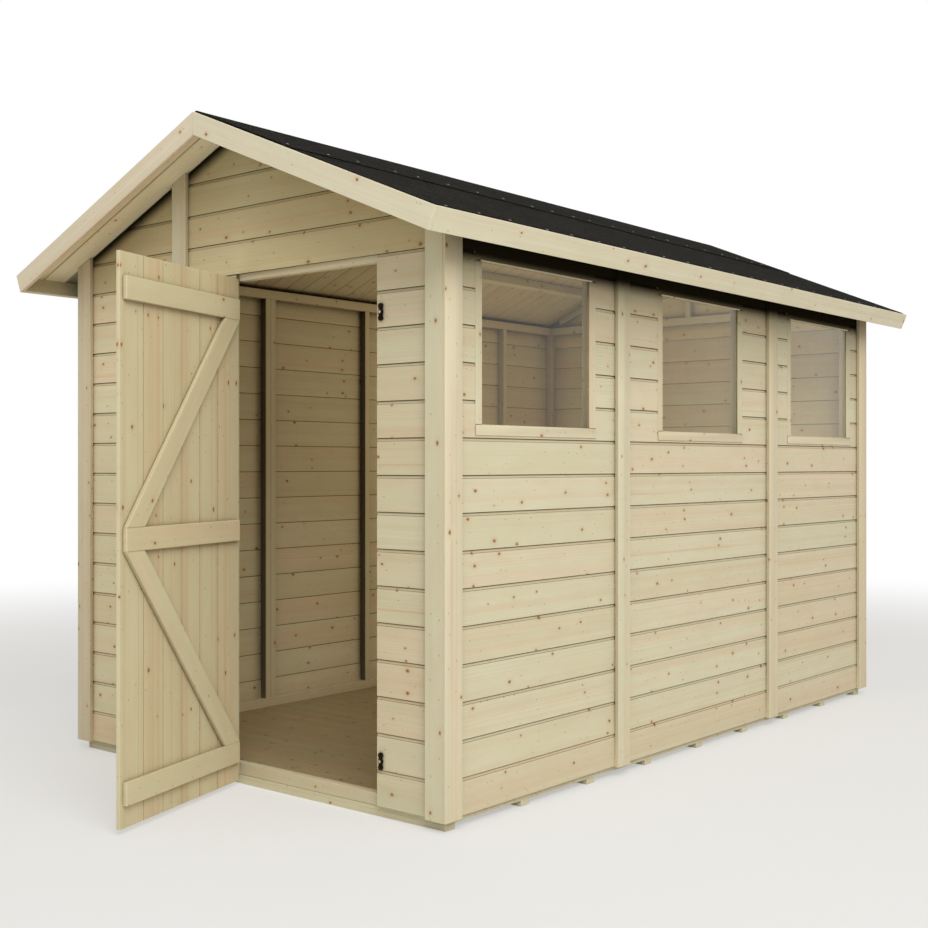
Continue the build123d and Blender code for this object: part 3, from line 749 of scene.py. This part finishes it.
class SHED_OT_end_walls(bpy.types.Operator):
    """Shiplap boards of the front and back walls with their gables"""

    bl_idname = "shed.end_walls"
    bl_label = "End walls"

    def execute(self, context):
        timber = settings(context, "timber")
        cuts = roof_cuts(settings(context, "roof"))
        foot = box("left_panel_front")[0].z
        walls = {
            "front_wall_boards_left": ("front_panel_left", "front"),
            "front_wall_boards_hinge_side": ("front_panel_hinge_side", "front"),
            "front_wall_boards_latch_side": ("front_panel_latch_side", "front"),
            "front_gable_boards": ("front_gable", "front"),
            "back_wall_boards": ("back_wall", "back"),
            "back_gable_boards": ("back_gable", "back"),
        }
        for name, (node, face) in walls.items():
            # On a gable the roof planes shape the boards' tops and also set where painted shade is laid
            # under the roof.
            slopes = cuts if "gable" in node else ()
            wall = Joinery(name, name, slopes=slopes)
            board_wall(wall, timber, node, face, foot, cuts=slopes)
            # Painted light: the front wall's left panel takes the brighter copy of the wall wood.
            look = {"front_panel_left": "wall_with_painted_light"}.get(node, "gable" if slopes else "wall")
            wall.finish(context, look, node, "wall_wood")
        return {"FINISHED"}


class SHED_OT_trim(bpy.types.Operator):
    """Corner strips and joint strips over the wall boards"""

    bl_idname = "shed.trim"
    bl_label = "Strips"

    def execute(self, context):
        cuts = roof_cuts(settings(context, "roof"))
        for end, side in (("front", -1), ("back", 1)):
            low, high = box(f"{end}_corner_strips")
            edge_x, edge_y = high.x, max(abs(low.y), abs(high.y))
            face_x, face_y = edge_x - TRIM_THICKNESS, edge_y - TRIM_THICKNESS
            top = high.z + UPPER_SPARE
            corner = Joinery(f"{end}_corner_boards", f"{end} corner")
            for turn in (-1, 1):
                # The end board laps a tongue of the side board, which shows as a narrow edge.
                lap = face_x + 0.0060
                spans = sorted((turn * (edge_x - CORNER_WIDTH), turn * (lap - HAIR)))
                depth = sorted((side * face_y, side * edge_y))
                first = Vector((spans[0], depth[0], low.z))
                last = Vector((spans[1], depth[1], top))
                corner.batten(first, last, "z", cuts, STRIP_EASE)
                outline = [
                    (face_x, face_y + HAIR),
                    (lap, face_y + HAIR),
                    (lap, edge_y),
                    (edge_x, edge_y),
                    (edge_x, edge_y - CORNER_WIDTH),
                    (face_x, edge_y - CORNER_WIDTH),
                ]
                section = [(turn * a, side * b) for a, b in outline]
                place = facing(Vector((0, 0, low.z)), Z, X)
                corner.add(section, high.z - low.z + UPPER_SPARE, place, cuts, STRIP_EASE)
            corner.finish(context, "trim", f"{end}_corner_strips", "trim_wood")
        for wall, eave in (("side", eave_height()), ("end", None)):
            name = f"{wall}_joint_boards"
            strips = Joinery(name, name, eave)
            for low, high in solids(f"{wall}_joint_strips"):
                strips.batten(low, high + Z * UPPER_SPARE, "z", cuts, STRIP_EASE)
            strips.finish(context, "trim", f"{wall}_joint_strips", "trim_wood")
        return {"FINISHED"}


def timber_under_roof(width, depth):
    """Section of a timber whose upper face lies against the roof boards."""
    foot = -ROOF_SEAT - depth
    return [(0, foot), (width, foot), (width, -ROOF_SEAT), (0, -ROOF_SEAT)]


def solids(node):
    """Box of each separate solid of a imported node, in a fixed order."""
    bm = bmesh.new()
    bm.from_mesh(frame["nodes"][node].data)
    bmesh.ops.remove_doubles(bm, verts=bm.verts, dist=1e-6)
    seen, found = set(), []
    for start in bm.verts:
        if start in seen:
            continue
        group, queue = [], [start]
        seen.add(start)
        while queue:
            vert = queue.pop()
            group.append(vert.co)
            for edge in vert.link_edges:
                other = edge.other_vert(vert)
                if other not in seen:
                    seen.add(other)
                    queue.append(other)
        low = Vector([min(c[i] for c in group) for i in range(3)])
        high = Vector([max(c[i] for c in group) for i in range(3)])
        found.append((low, high))
    bm.free()
    return sorted(found, key=lambda pair: [round(v, 4) for v in (*pair[0], *pair[1])])


class SHED_OT_framing(bpy.types.Operator):
    """Studs, rails, door sill, door head rail, gable rafters and purlins"""

    bl_idname = "shed.framing"
    bl_label = "Framing"

    def execute(self, context):
        roof = settings(context, "roof")
        for node, name in (
            ("side_wall_studs", "side_studs"),
            ("end_wall_studs", "end_studs"),
            ("side_wall_rails", "side_rails"),
            ("end_wall_rails", "end_rails"),
            ("door_sill", "door_sill_board"),
            ("door_head_rail", "door_head_board"),
        ):
            timbers = Joinery(name, name)
            for low, high in solids(node):
                size = high - low
                axis = max("xyz", key=lambda a: getattr(size, a))
                timbers.batten(low, high, axis, (), STRIP_EASE)
            # Painted light: the door head rail takes the brighter door-head wood.
            look = "head" if node == "door_head_rail" else "framing"
            made = timbers.finish(context, look, node, "frame_wood")
            if node == "side_wall_studs":
                # Painted shade: the front-facing sides of the left wall's studs near the door take the very
                # dark wood.
                made.data.materials.append(finish(context, "painted_stud_shade"))
                for face in made.data.polygons:
                    near_door = face.center.x < 0 and face.center.y < 0.3
                    face.material_index = 1 if near_door and face.normal.y < -0.9 else 0
        rafters = Joinery("gable_rafter_timbers", "rafters")
        purlins = Joinery("purlin_timbers", "purlins")
        ridge = box("roof_boards_right")[1].z
        lean = roof.pitch
        low, high = box("gable_rafters")
        first, last = box("roof_purlins")
        rafter = timber_under_roof(RAFTER_DEPTH, TIMBER)
        purlin = timber_under_roof(TIMBER, PURLIN_DEPTH)
        run = high.x / math.cos(lean) - RAFTER_START - ROOF_SEAT * math.tan(lean)
        for side in (-1, 1):
            down = slope_axes(lean, side)[0]
            for face in (low.y, high.y - RAFTER_DEPTH):
                start = face if side > 0 else face + RAFTER_DEPTH
                place = facing(Vector((0, start, ridge)) + down * RAFTER_START, down, Y * side)
                rafters.add(rafter, run, place, (), STRIP_EASE)
            beside_ridge = (ROOF_SEAT + PURLIN_DEPTH) * math.tan(lean) + HAIR
            for offset in (beside_ridge, PURLIN_DOWN_SLOPE):
                start = last.y if side > 0 else first.y
                place = facing(Vector((0, start, ridge)) + down * offset, Y * -side, down)
                purlins.add(purlin, last.y - first.y, place, (), STRIP_EASE)
        rafters.finish(context, "framing", "gable_rafters", "frame_wood")
        purlins.finish(context, "framing", "roof_purlins", "frame_wood")
        return {"FINISHED"}


class SHED_OT_floor(bpy.types.Operator):
    """Tongued floor boards on rough bearers"""

    bl_idname = "shed.floor"
    bl_label = "Floor"

    def execute(self, context):
        timber = settings(context, "timber")
        low, high = box("floor_boards")
        boards = Joinery("floor_board_deck", "floor")
        count = round((high.y - low.y) / timber.floor_board_cover)
        cover = (high.y - low.y) / count
        thick = high.z - low.z
        for i in range(count):
            section = [
                (0.0001, 0.0),
                (0.0001, thick - 0.0012),
                (0.0012, thick),
                (cover - 0.0012, thick),
                (cover - 0.0001, thick - 0.0012),
                (cover - 0.0001, 0.0),
            ]
            place = facing(Vector((low.x, low.y + i * cover, low.z)), X, Y)
            boards.add(section, high.x - low.x, place)
        deck = boards.finish(context, "floor", "floor_boards", "floor_wood")
        deck.data.materials.append(finish(context, "bearers"))
        for face in deck.data.polygons:
            face.material_index = 0 if face.normal.z > 0.5 else 1
        bearers = Joinery("floor_bearer_timbers", "bearers")
        for low, high in solids("floor_bearers"):
            bearers.batten(low, high, "x", (), 0.0015)
        bearers.finish(context, "bearers", "floor_bearers", "floor_wood")
        return {"FINISHED"}


class SHED_OT_windows(bpy.types.Operator):
    """Three fixed windows: sill, head, stiles, glazing beads and a pane each"""

    bl_idname = "shed.windows"
    bl_label = "Windows"

    def execute(self, context):
        boards_x = box("right_panel_front")[1].x
        for place in ("front", "middle", "back"):
            low, high = box(f"window_frame_{place}")
            pane_low, pane_high = box(f"window_glass_{place}")
            sight = [pane_low.y + PANE_LAP, pane_high.y - PANE_LAP - LINING]
            sight += [pane_low.z + PANE_LAP, pane_high.z - 0.001]
            back_x, glass_x = low.x, pane_high.x + HAIR
            proud = boards_x + 0.003
            window = Joinery(f"window_joinery_{place}", f"window {place}", eave_height())
            # Sill: a sloped top, a throat below and the pane's rebate behind it.
            sill = [
                (low.z, back_x),
                (low.z, boards_x),
                (low.z + 0.001, proud),
                (sight[2] - 0.003, proud),
                (sight[2], glass_x),
                (pane_low.z - HAIR, glass_x),
                (pane_low.z - HAIR, pane_low.x - HAIR),
                (sight[2], pane_low.x - HAIR),
                (sight[2], back_x),
            ]
            crossways = facing(Vector((0, low.y, 0)), Y, Z)
            window.add(sill, high.y - low.y, crossways, (), FRAME_EASE)
            head = [
                (high.z, back_x),
                (high.z, boards_x),
                (sight[3] + 0.005, boards_x),
                (sight[3] + 0.005, glass_x),
                (pane_high.z + HAIR, glass_x),
                (pane_high.z + HAIR, pane_low.x - HAIR),
                (sight[3], pane_low.x - HAIR),
                (sight[3], back_x),
            ]
            window.add(head, high.y - low.y, crossways, (), FRAME_EASE)
            window.eave_height = None
            bead_start = Vector((glass_x, low.y + BEAD_INSET, sight[3]))
            bead_end = Vector((proud, high.y - BEAD_INSET, sight[3] + 0.0048))
            window.batten(bead_start, bead_end, "y", (), 0.0004)
            window.eave_height = eave_height()
            for outer, inner, turn in ((low.y, sight[0], 1), (high.y, sight[1], -1)):
                lining = outer + turn * LINING
                stile = [
                    (back_x, outer),
                    (back_x, lining),
                    (pane_low.x - 0.004, lining),
                    (pane_low.x - 0.004, inner),
                    (pane_low.x - HAIR, inner),
                    (pane_low.x - HAIR, inner - turn * (PANE_LAP + HAIR)),
                    (glass_x, inner - turn * (PANE_LAP + HAIR)),
                    (glass_x, inner),
                    (proud - 0.002, inner),
                    (proud - 0.002, outer),
                ]
                upright = facing(Vector((0, 0, sight[2] + HAIR)), Z, X)
                window.add(stile, sight[3] - sight[2] - 2 * HAIR, upright, (), FRAME_EASE)
            window.finish(context, "trim", f"window_frame_{place}", "trim_wood")
            paint(f"window_glass_{place}", finish(context, "glass"))
        return {"FINISHED"}


class SHED_OT_roof(bpy.types.Operator):
    """Roof boards, felt, ridge felt, fascias, barge boards and clout nails"""

    bl_idname = "shed.roof"
    bl_label = "Roof"

    def execute(self, context):
        timber, roof = settings(context, "timber"), settings(context, "roof")
        lean = roof.pitch
        high = box("roof_boards_right")[1]
        ridge, back = high.z, high.y
        slope = box("fascia_right")[1].x / math.cos(lean)
        deck = slope - TRIM_THICKNESS
        wall_end = max(box("left_panel_back")[1].y, box("back_wall")[1].y)
        count = round(2 * back / timber.roof_board_cover)
        cover = 2 * back / count
        for side, hand in ((1, "right"), (-1, "left")):
            down = slope_axes(lean, side)[0]
            plumb = ((Vector((side * HAIR, 0, 0)), X * -side),)
            deck_boards = Joinery(f"roof_board_deck_{hand}", f"roof {hand}")
            for i in range(count):
                near = 0.0065 if i in (1, count - 1) else 0.0018
                far = 0.0065 if i in (0, count - 2) else 0.0018
                section = [
                    (near, -ROOF_BOARD, 0.0),
                    (0.0008, -0.0108, 0.7),
                    (0.0006, -0.0080, 1.0),
                    (0.0001, -0.0080, 1.0),
                    (0.0001, -0.0002, 1.0),
                    (cover - 0.0001, -0.0002, 1.0),
                    (cover - 0.0001, -0.0080, 1.0),
                    (cover - 0.0006, -0.0080, 1.0),
                    (cover - 0.0008, -0.0108, 0.7),
                    (cover - far, -ROOF_BOARD, 0.0),
                ]
                origin = Vector((0, side * (-back + i * cover), ridge)) - down * UPPER_SPARE
                place = facing(origin, down, Y * side)
                deck_boards.add(section, deck + UPPER_SPARE - HAIR, place, plumb)
            made = deck_boards.finish(context, "roof", f"roof_boards_{hand}", "roof_wood")
            # Painted light: the boards' faces beyond the end walls, under the overhangs, take the brighter
            # soffit wood.
            made.data.materials.append(finish(context, "soffit_with_painted_light"))
            for face in made.data.polygons:
                face.material_index = 1 if abs(face.center.y) > wall_end else 0
            self.slope_felt(context, side, hand, ridge, deck, back)
            fascia = Joinery(f"fascia_board_{hand}", f"fascia {hand}")
            origin = Vector((0, side * back, ridge)) + down * deck
            section = trim_section(HAIR, TRIM_THICKNESS)
            fascia.add(section, 2 * back, facing(origin, Y * -side, down), (), 0.0010)
            fascia.finish(context, "fascia", f"fascia_{hand}", "trim_wood")
            for end, at in (("front", -1), ("back", 1)):
                node = f"{end}_barge_board_{hand}"
                barge = Joinery(f"{end}_barge_{hand}", node)
                low, high = box(node)
                start = low.y if side > 0 else high.y
                inset = HAIR if at * side > 0 else 0.0
                origin = Vector((0, start, ridge)) - down * 0.05
                section = trim_section(inset, TRIM_THICKNESS - HAIR + inset)
                barge.add(section, slope + 0.05, facing(origin, down, Y * side), plumb, 0.0010)
                barge.finish(context, "fascia", node, "trim_wood")
        self.ridge_strip(context, ridge, back)
        self.clout_nails(context, ridge, back)
        return {"FINISHED"}

    def slope_felt(self, context, side, hand, ridge, deck, back):
        """The felt of one slope, with a slight wave in its upper face."""
        lean = settings(context, "roof").pitch
        down, out = slope_axes(lean, side)

        def spot(lift, i, j):
            y = -back + 2 * back * i / FELT_COLUMNS
            s = deck * j / FELT_ROWS
            if lift > 0.001 and 0 < i < FELT_COLUMNS and j < FELT_ROWS:
                lift -= 0.0009 * (0.5 + 0.5 * noise.noise(Vector((y * 3.0, s * 5.0, side * 3.1))))
            at = Vector((0, y, ridge)) + down * s + out * lift
            if j == 0:
                at.x = side * HAIR
                at.z = ridge + lift / math.cos(lean)
            return at

        felt = finish(context, "felt")
        felt_sheet(f"felt_sheet_{hand}", f"roof_felt_{hand}", felt, (0.0001, FELT_THICKNESS), spot)

    def ridge_strip(self, context, ridge, back):
        """One strip of felt bent over the ridge."""
        lean = settings(context, "roof").pitch

        def spot(lift, i, j):
            y = -back + 2 * back * i / FELT_COLUMNS
            s = RIDGE_REACH * (2 * j / FELT_ROWS - 1)
            down, out = slope_axes(lean, -1 if s < 0 else 1)
            if lift > 0.005 and 0 < i < FELT_COLUMNS and 0 < j < FELT_ROWS:
                lift -= 0.0010 * (0.5 + 0.5 * noise.noise(Vector((y * 2.3, s * 4.0, 7.7))))
            if j * 2 == FELT_ROWS:
                return Vector((0, y, ridge + lift / math.cos(lean)))
            return Vector((0, y, ridge)) + down * abs(s) + out * lift

        levels = (FELT_THICKNESS + 0.0001, 2 * FELT_THICKNESS)
        felt_sheet("ridge_felt_strip", "ridge_felt_cap", finish(context, "felt"), levels, spot)

    def clout_nails(self, context, ridge, back):
        """Nails along the ridge strip's edges and above the eaves."""
        roof = settings(context, "roof")
        nails = bmesh.new()
        chance = random.Random("clouts")
        for side in (-1, 1):
            down, out = slope_axes(roof.pitch, side)
            for across, lift in NAIL_LINES:
                y = -back + NAIL_MARGIN
                while y < back - 0.04:
                    s = across + chance.uniform(-0.014, 0.014)
                    at = Vector((0, y, ridge)) + down * s + out * lift
                    head(nails, at, out, roof.nail_radius, NAIL_HEIGHT)
                    y += roof.nail_spacing + chance.uniform(-0.02, 0.02)
        piece("clout_nails", nails, finish(context, "galvanised"), "shed", [])


def trim_section(near, far):
    """Section of a barge board or fascia."""
    return [(near, -TRIM_WIDTH), (far, -TRIM_WIDTH), (far, 0), (near, 0)]


def felt_sheet(name, node, material, levels, spot):
    """A closed sheet of felt between two levels, where spot(level, i, j) gives each point."""
    bm = bmesh.new()
    columns, rows = range(FELT_COLUMNS + 1), range(FELT_ROWS + 1)
    grids = [
        [[bm.verts.new(spot(level, i, j)) for j in rows] for i in columns] for level in levels
    ]
    close_sheet(bm, grids, FELT_COLUMNS, FELT_ROWS)
    piece(name, bm, material, "shed", [node], 60)


def close_sheet(bm, grids, columns, rows):
    """Joins an under and an upper grid of points into one closed sheet."""
    under, upper = grids
    for i in range(columns):
        for j in range(rows):
            bm.faces.new((upper[i][j], upper[i + 1][j], upper[i + 1][j + 1], upper[i][j + 1]))
            bm.faces.new((under[i][j], under[i][j + 1], under[i + 1][j + 1], under[i + 1][j]))
    for i in range(columns):
        for j in (0, rows):
            bm.faces.new((under[i][j], under[i + 1][j], upper[i + 1][j], upper[i][j]))
    for j in range(rows):
        for i in (0, columns):
            bm.faces.new((under[i][j], under[i][j + 1], upper[i][j + 1], upper[i][j]))
    bmesh.ops.recalc_face_normals(bm, faces=bm.faces)


def head(bm, centre, out, radius, height, segments=14):
    """Domed head of a nail or screw that stands on a face."""
    turn = out.to_track_quat("Z", "Y").to_matrix()
    rings = []
    for share, rise in ((1.0, -0.6), (1.0, 0.35), (0.86, 0.75), (0.5, 1.0)):
        ring = []
        for k in range(segments):
            angle = 2 * math.pi * k / segments
            spread = radius * share
            local = Vector((spread * math.cos(angle), spread * math.sin(angle), height * rise))
            ring.append(bm.verts.new(centre + turn @ local))
        rings.append(ring)
    for a, b in zip(rings, rings[1:]):
        for k in range(segments):
            m = (k + 1) % segments
            bm.faces.new((a[k], a[m], b[m], b[k]))
    bm.faces.new(list(reversed(rings[0])))
    bm.faces.new(rings[-1])


def door_axes():
    """The door's hinge axis, and its directions along and out of the door at rest."""
    joint = next(j for j in frame["joints"] if j["name"] == "door_hinge")
    pin = Vector(joint["pos_m"])
    swing = math.radians(joint["range_deg"][1])
    along = Vector((math.cos(swing), -math.sin(swing), 0))
    return Vector((pin.x, pin.y, 0)), along, Vector((-math.sin(swing), -math.cos(swing), 0))


def ledge_heights():
    """Middles of the door's ledges above the ground."""
    return sorted({round((low.z + high.z) / 2, 4) for low, high in solids("door_ledges")})


class SHED_OT_door(bpy.types.Operator):
    """Ledged and braced door of six boards"""

    bl_idname = "shed.door"
    bl_label = "Door"

    def execute(self, context):
        pin, along, out = door_axes()
        low, high = box("door_boards")
        leaf = LEAF_END - LEAF_START
        boards = Joinery("door_board_leaf", "door")
        for a, b in zip(LEAF_JOINTS, LEAF_JOINTS[1:]):
            start, end = LEAF_START + a * leaf, LEAF_START + b * leaf
            width = end - start
            free, hung = (1.0 if b < 1 else 0.0), (1.0 if a > 0 else 0.0)
            section = [
                (0.0014, 0.0, 0.0),
                (0.0004, 0.0012, free),
                (0.0004, 0.0112, free),
                (0.0012, LEAF_THICKNESS, 0.0),
                (width - 0.0014, LEAF_THICKNESS, 0.0),
                (width - 0.0004, 0.0110, hung),
                (width - 0.0004, 0.0012, hung),
                (width - 0.0014, 0.0, 0.0),
            ]
            origin = pin + along * end - out * LEAF_BACK + Z * low.z
            boards.add(section, high.z - low.z, facing(origin, Z, -along))
        boards.finish(context, "door", "door_boards", "door_wood", "door")
        back = LEAF_BACK + LEDGE_THICKNESS
        ledges = Joinery("door_ledge_boards", "ledges")
        heights = ledge_heights()
        start, end = LEAF_START + LEDGE_INSET, LEAF_END - LEDGE_INSET
        for height in heights:
            origin = pin + along * start - out * back + Z * (height - LEDGE_WIDTH / 2)
            section = oblong(LEDGE_WIDTH, LEDGE_THICKNESS - HAIR)
            ledges.add(section, end - start, facing(origin, along, Z), (), 0.0018)
        ledges.finish(context, "ledge", "door_ledges", "door_wood", "door")
        braces = Joinery("door_brace_boards", "braces")
        for lower, upper in zip(heights, heights[1:]):
            foot, top = lower + LEDGE_WIDTH / 2 + HAIR, upper - LEDGE_WIDTH / 2 - HAIR
            climb = 1 if upper == heights[1] else -1
            angle = math.atan2(top - foot, end - start)
            flat = BRACE_WIDTH / math.sin(angle)
            run_x, run_z = end - start - flat, top - foot
            lean = math.atan2(run_z, run_x)
            width = flat * math.sin(lean)
            direction = along * (climb * math.cos(lean)) + Z * math.sin(lean)
            across = Z * math.cos(lean) - along * (climb * math.sin(lean))
            if climb < 0:
                across = -across
            base = start if climb > 0 else end
            middle = pin + along * (base + climb * flat / 2) + Z * foot - out * back
            spare = 0.12
            origin = middle - direction * spare - across * (width / 2)
            cuts = ((Vector((0, 0, foot)), -Z), (Vector((0, 0, top)), Z))
            place = facing(origin, direction, across)
            section = oblong(width, LEDGE_THICKNESS - HAIR)
            braces.add(section, math.hypot(run_x, run_z) + 2 * spare, place, cuts, 0.0018)
        braces.finish(context, "ledge", "door_braces", "door_wood", "door")
        return {"FINISHED"}


class SHED_OT_hinges(bpy.types.Operator):
    """Three tee hinges with screws through straps and plates"""

    bl_idname = "shed.hinges"
    bl_label = "Hinges"

    def execute(self, context):
        fittings = settings(context, "fittings")
        pin, along, out = door_axes()
        iron = finish(context, "iron")
        for node in ("hinge_straps", "hinge_plates"):
            paint(node, iron)
        strap_screws, plate_screws = bmesh.new(), bmesh.new()
        plate_low, plate_high = box("hinge_plates")
        for height in ledge_heights():
            for reach in STRAP_SCREWS:
                at = pin + along * reach - out * 0.0045 + Z * height
                head(strap_screws, at, out, fittings.screw_radius, 0.0009)
            for rise in (-0.034, 0.034):
                at = Vector((plate_low.x + 0.014, plate_high.y - 0.003, height + rise))
                head(plate_screws, at, -Y, fittings.screw_radius, 0.0009)
        piece("strap_screws", strap_screws, iron, "door", [])
        piece("plate_screws", plate_screws, iron, "shed", [])
        return {"FINISHED"}


class SHED_OT_buttons(bpy.types.Operator):
    """Two bronzed turn buttons on bright screws"""

    bl_idname = "shed.buttons"
    bl_label = "Turn buttons"

    def execute(self, context):
        for name in ("upper_turn_button", "lower_turn_button"):
            paint(name, finish(context, "bronze"))
        paint("button_screws", finish(context, "brass"))
        return {"FINISHED"}


class SHED_OT_fixings(bpy.types.Operator):
    """Screws at the heads and feet of the strips"""

    bl_idname = "shed.fixings"
    bl_label = "Fixings"

    def execute(self, context):
        screws = bmesh.new()
        face = box("front_corner_strips")[1].x - 0.0009
        top = box("left_panel_front")[1].z
        for low, high in solids("side_joint_strips"):
            side = 1 if low.x > 0 else -1
            middle = (low.y + high.y) / 2
            for along in (-0.012, 0.016):
                for height in (top - 0.045, 0.080):
                    at = Vector((side * face, middle + along, height))
                    head(screws, at, X * side, STRIP_SCREW, SCREW_HEIGHT)
        piece("strip_screws", screws, finish(context, "galvanised"), "shed", [])
        return {"FINISHED"}


def stand(scene, name, data, location):
    """Puts a new object of the stage in its place."""
    made = bpy.data.objects.new(name, data)
    made.location = location
    scene.collection.objects.link(made)
    return made


class SHED_OT_stage(bpy.types.Operator):
    """Pale floor, white surroundings, soft light and the camera"""

    bl_idname = "shed.stage"
    bl_label = "Stage"

    def execute(self, context):
        stage = settings(context, "stage")
        scene = context.scene
        bm = bmesh.new()
        bmesh.ops.create_circle(bm, cap_ends=True, segments=96, radius=60.0)
        bmesh.ops.translate(bm, verts=bm.verts, vec=(0, 0, -0.0004))
        mesh = bpy.data.meshes.new("studio_floor")
        bm.to_mesh(mesh)
        bm.free()
        mesh.materials.append(floor_finish("Studio floor", stage))
        stand(scene, "studio_floor", mesh, (0, 0, 0))
        world = bpy.data.worlds.new("Studio")
        scene.world = world
        f = Finish("Studio", world)
        white = (1.0, 1.0, 1.0, 1.0)
        dome = f.put("ShaderNodeBackground", {"Color": white, "Strength": stage.sky_level}).outputs[0]
        backdrop = f.put("ShaderNodeBackground", {"Color": white, "Strength": 1.0}).outputs[0]
        mixed = f.put("ShaderNodeMixShader", {0: watched(f), 1: dome, 2: backdrop}).outputs[0]
        f.put("ShaderNodeOutputWorld", {"Surface": mixed})
        lamp = bpy.data.lights.new("large_softbox", "AREA")
        lamp.shape = "RECTANGLE"
        lamp.size, lamp.size_y = 8.0, 8.0
        lamp.energy = stage.lamp_power
        light = stand(scene, "large_softbox", lamp, stage.lamp_place)
        aim = Vector((0, 0, 1.0)) - light.location
        light.rotation_euler = aim.to_track_quat("-Z", "Y").to_euler()
        glow = bpy.data.lights.new("inner_glow", "POINT")
        glow.energy = stage.inner_power
        glow.color = (1.0, 0.88, 0.71)
        glow.shadow_soft_size = 0.35
        within = stand(scene, "inner_glow", glow, stage.inner_place)
        within.visible_camera = within.visible_glossy = False
        camera_data = bpy.data.cameras.new("Camera")
        camera_data.lens = stage.lens
        camera_data.sensor_width = 36.0
        camera_data.clip_start, camera_data.clip_end = 0.05, 200.0
        scene.camera = stand(scene, "Camera", camera_data, stage.camera_place)
        scene.camera.rotation_euler = (math.radians(90), 0, stage.camera_turn)
        scene.view_settings.view_transform = "Standard"
        return {"FINISHED"}


OPERATORS = (
    SHED_OT_side_walls,
    SHED_OT_end_walls,
    SHED_OT_trim,
    SHED_OT_framing,
    SHED_OT_floor,
    SHED_OT_windows,
    SHED_OT_roof,
    SHED_OT_door,
    SHED_OT_hinges,
    SHED_OT_buttons,
    SHED_OT_fixings,
    SHED_OT_stage,
)


class SHED_PT_panel(bpy.types.Panel):
    """Lists the shed's pieces in the sidebar"""

    bl_label = "Garden Shed"
    bl_space_type = "VIEW_3D"
    bl_region_type = "UI"
    bl_category = "Shed"

    def draw(self, context):
        for operator in OPERATORS:
            self.layout.operator(operator.bl_idname)


GROUPS = {
    "timber": ShedTimberSettings,
    "roof": ShedRoofSettings,
    "fittings": ShedFittingSettings,
    "stage": ShedStageSettings,
}


def register():
    for group, kind in GROUPS.items():
        bpy.utils.register_class(kind)
        setattr(bpy.types.Scene, "shed_" + group, bpy.props.PointerProperty(type=kind))
    for kind in (*OPERATORS, SHED_PT_panel):
        bpy.utils.register_class(kind)


def unregister():
    for kind in reversed((*OPERATORS, SHED_PT_panel)):
        bpy.utils.unregister_class(kind)
    for group, kind in GROUPS.items():
        delattr(bpy.types.Scene, "shed_" + group)
        bpy.utils.unregister_class(kind)


def main():
    register()
    for operator in OPERATORS:
        getattr(bpy.ops.shed, operator.bl_idname.split(".")[1])()


if __name__ == "__main__":
    main()
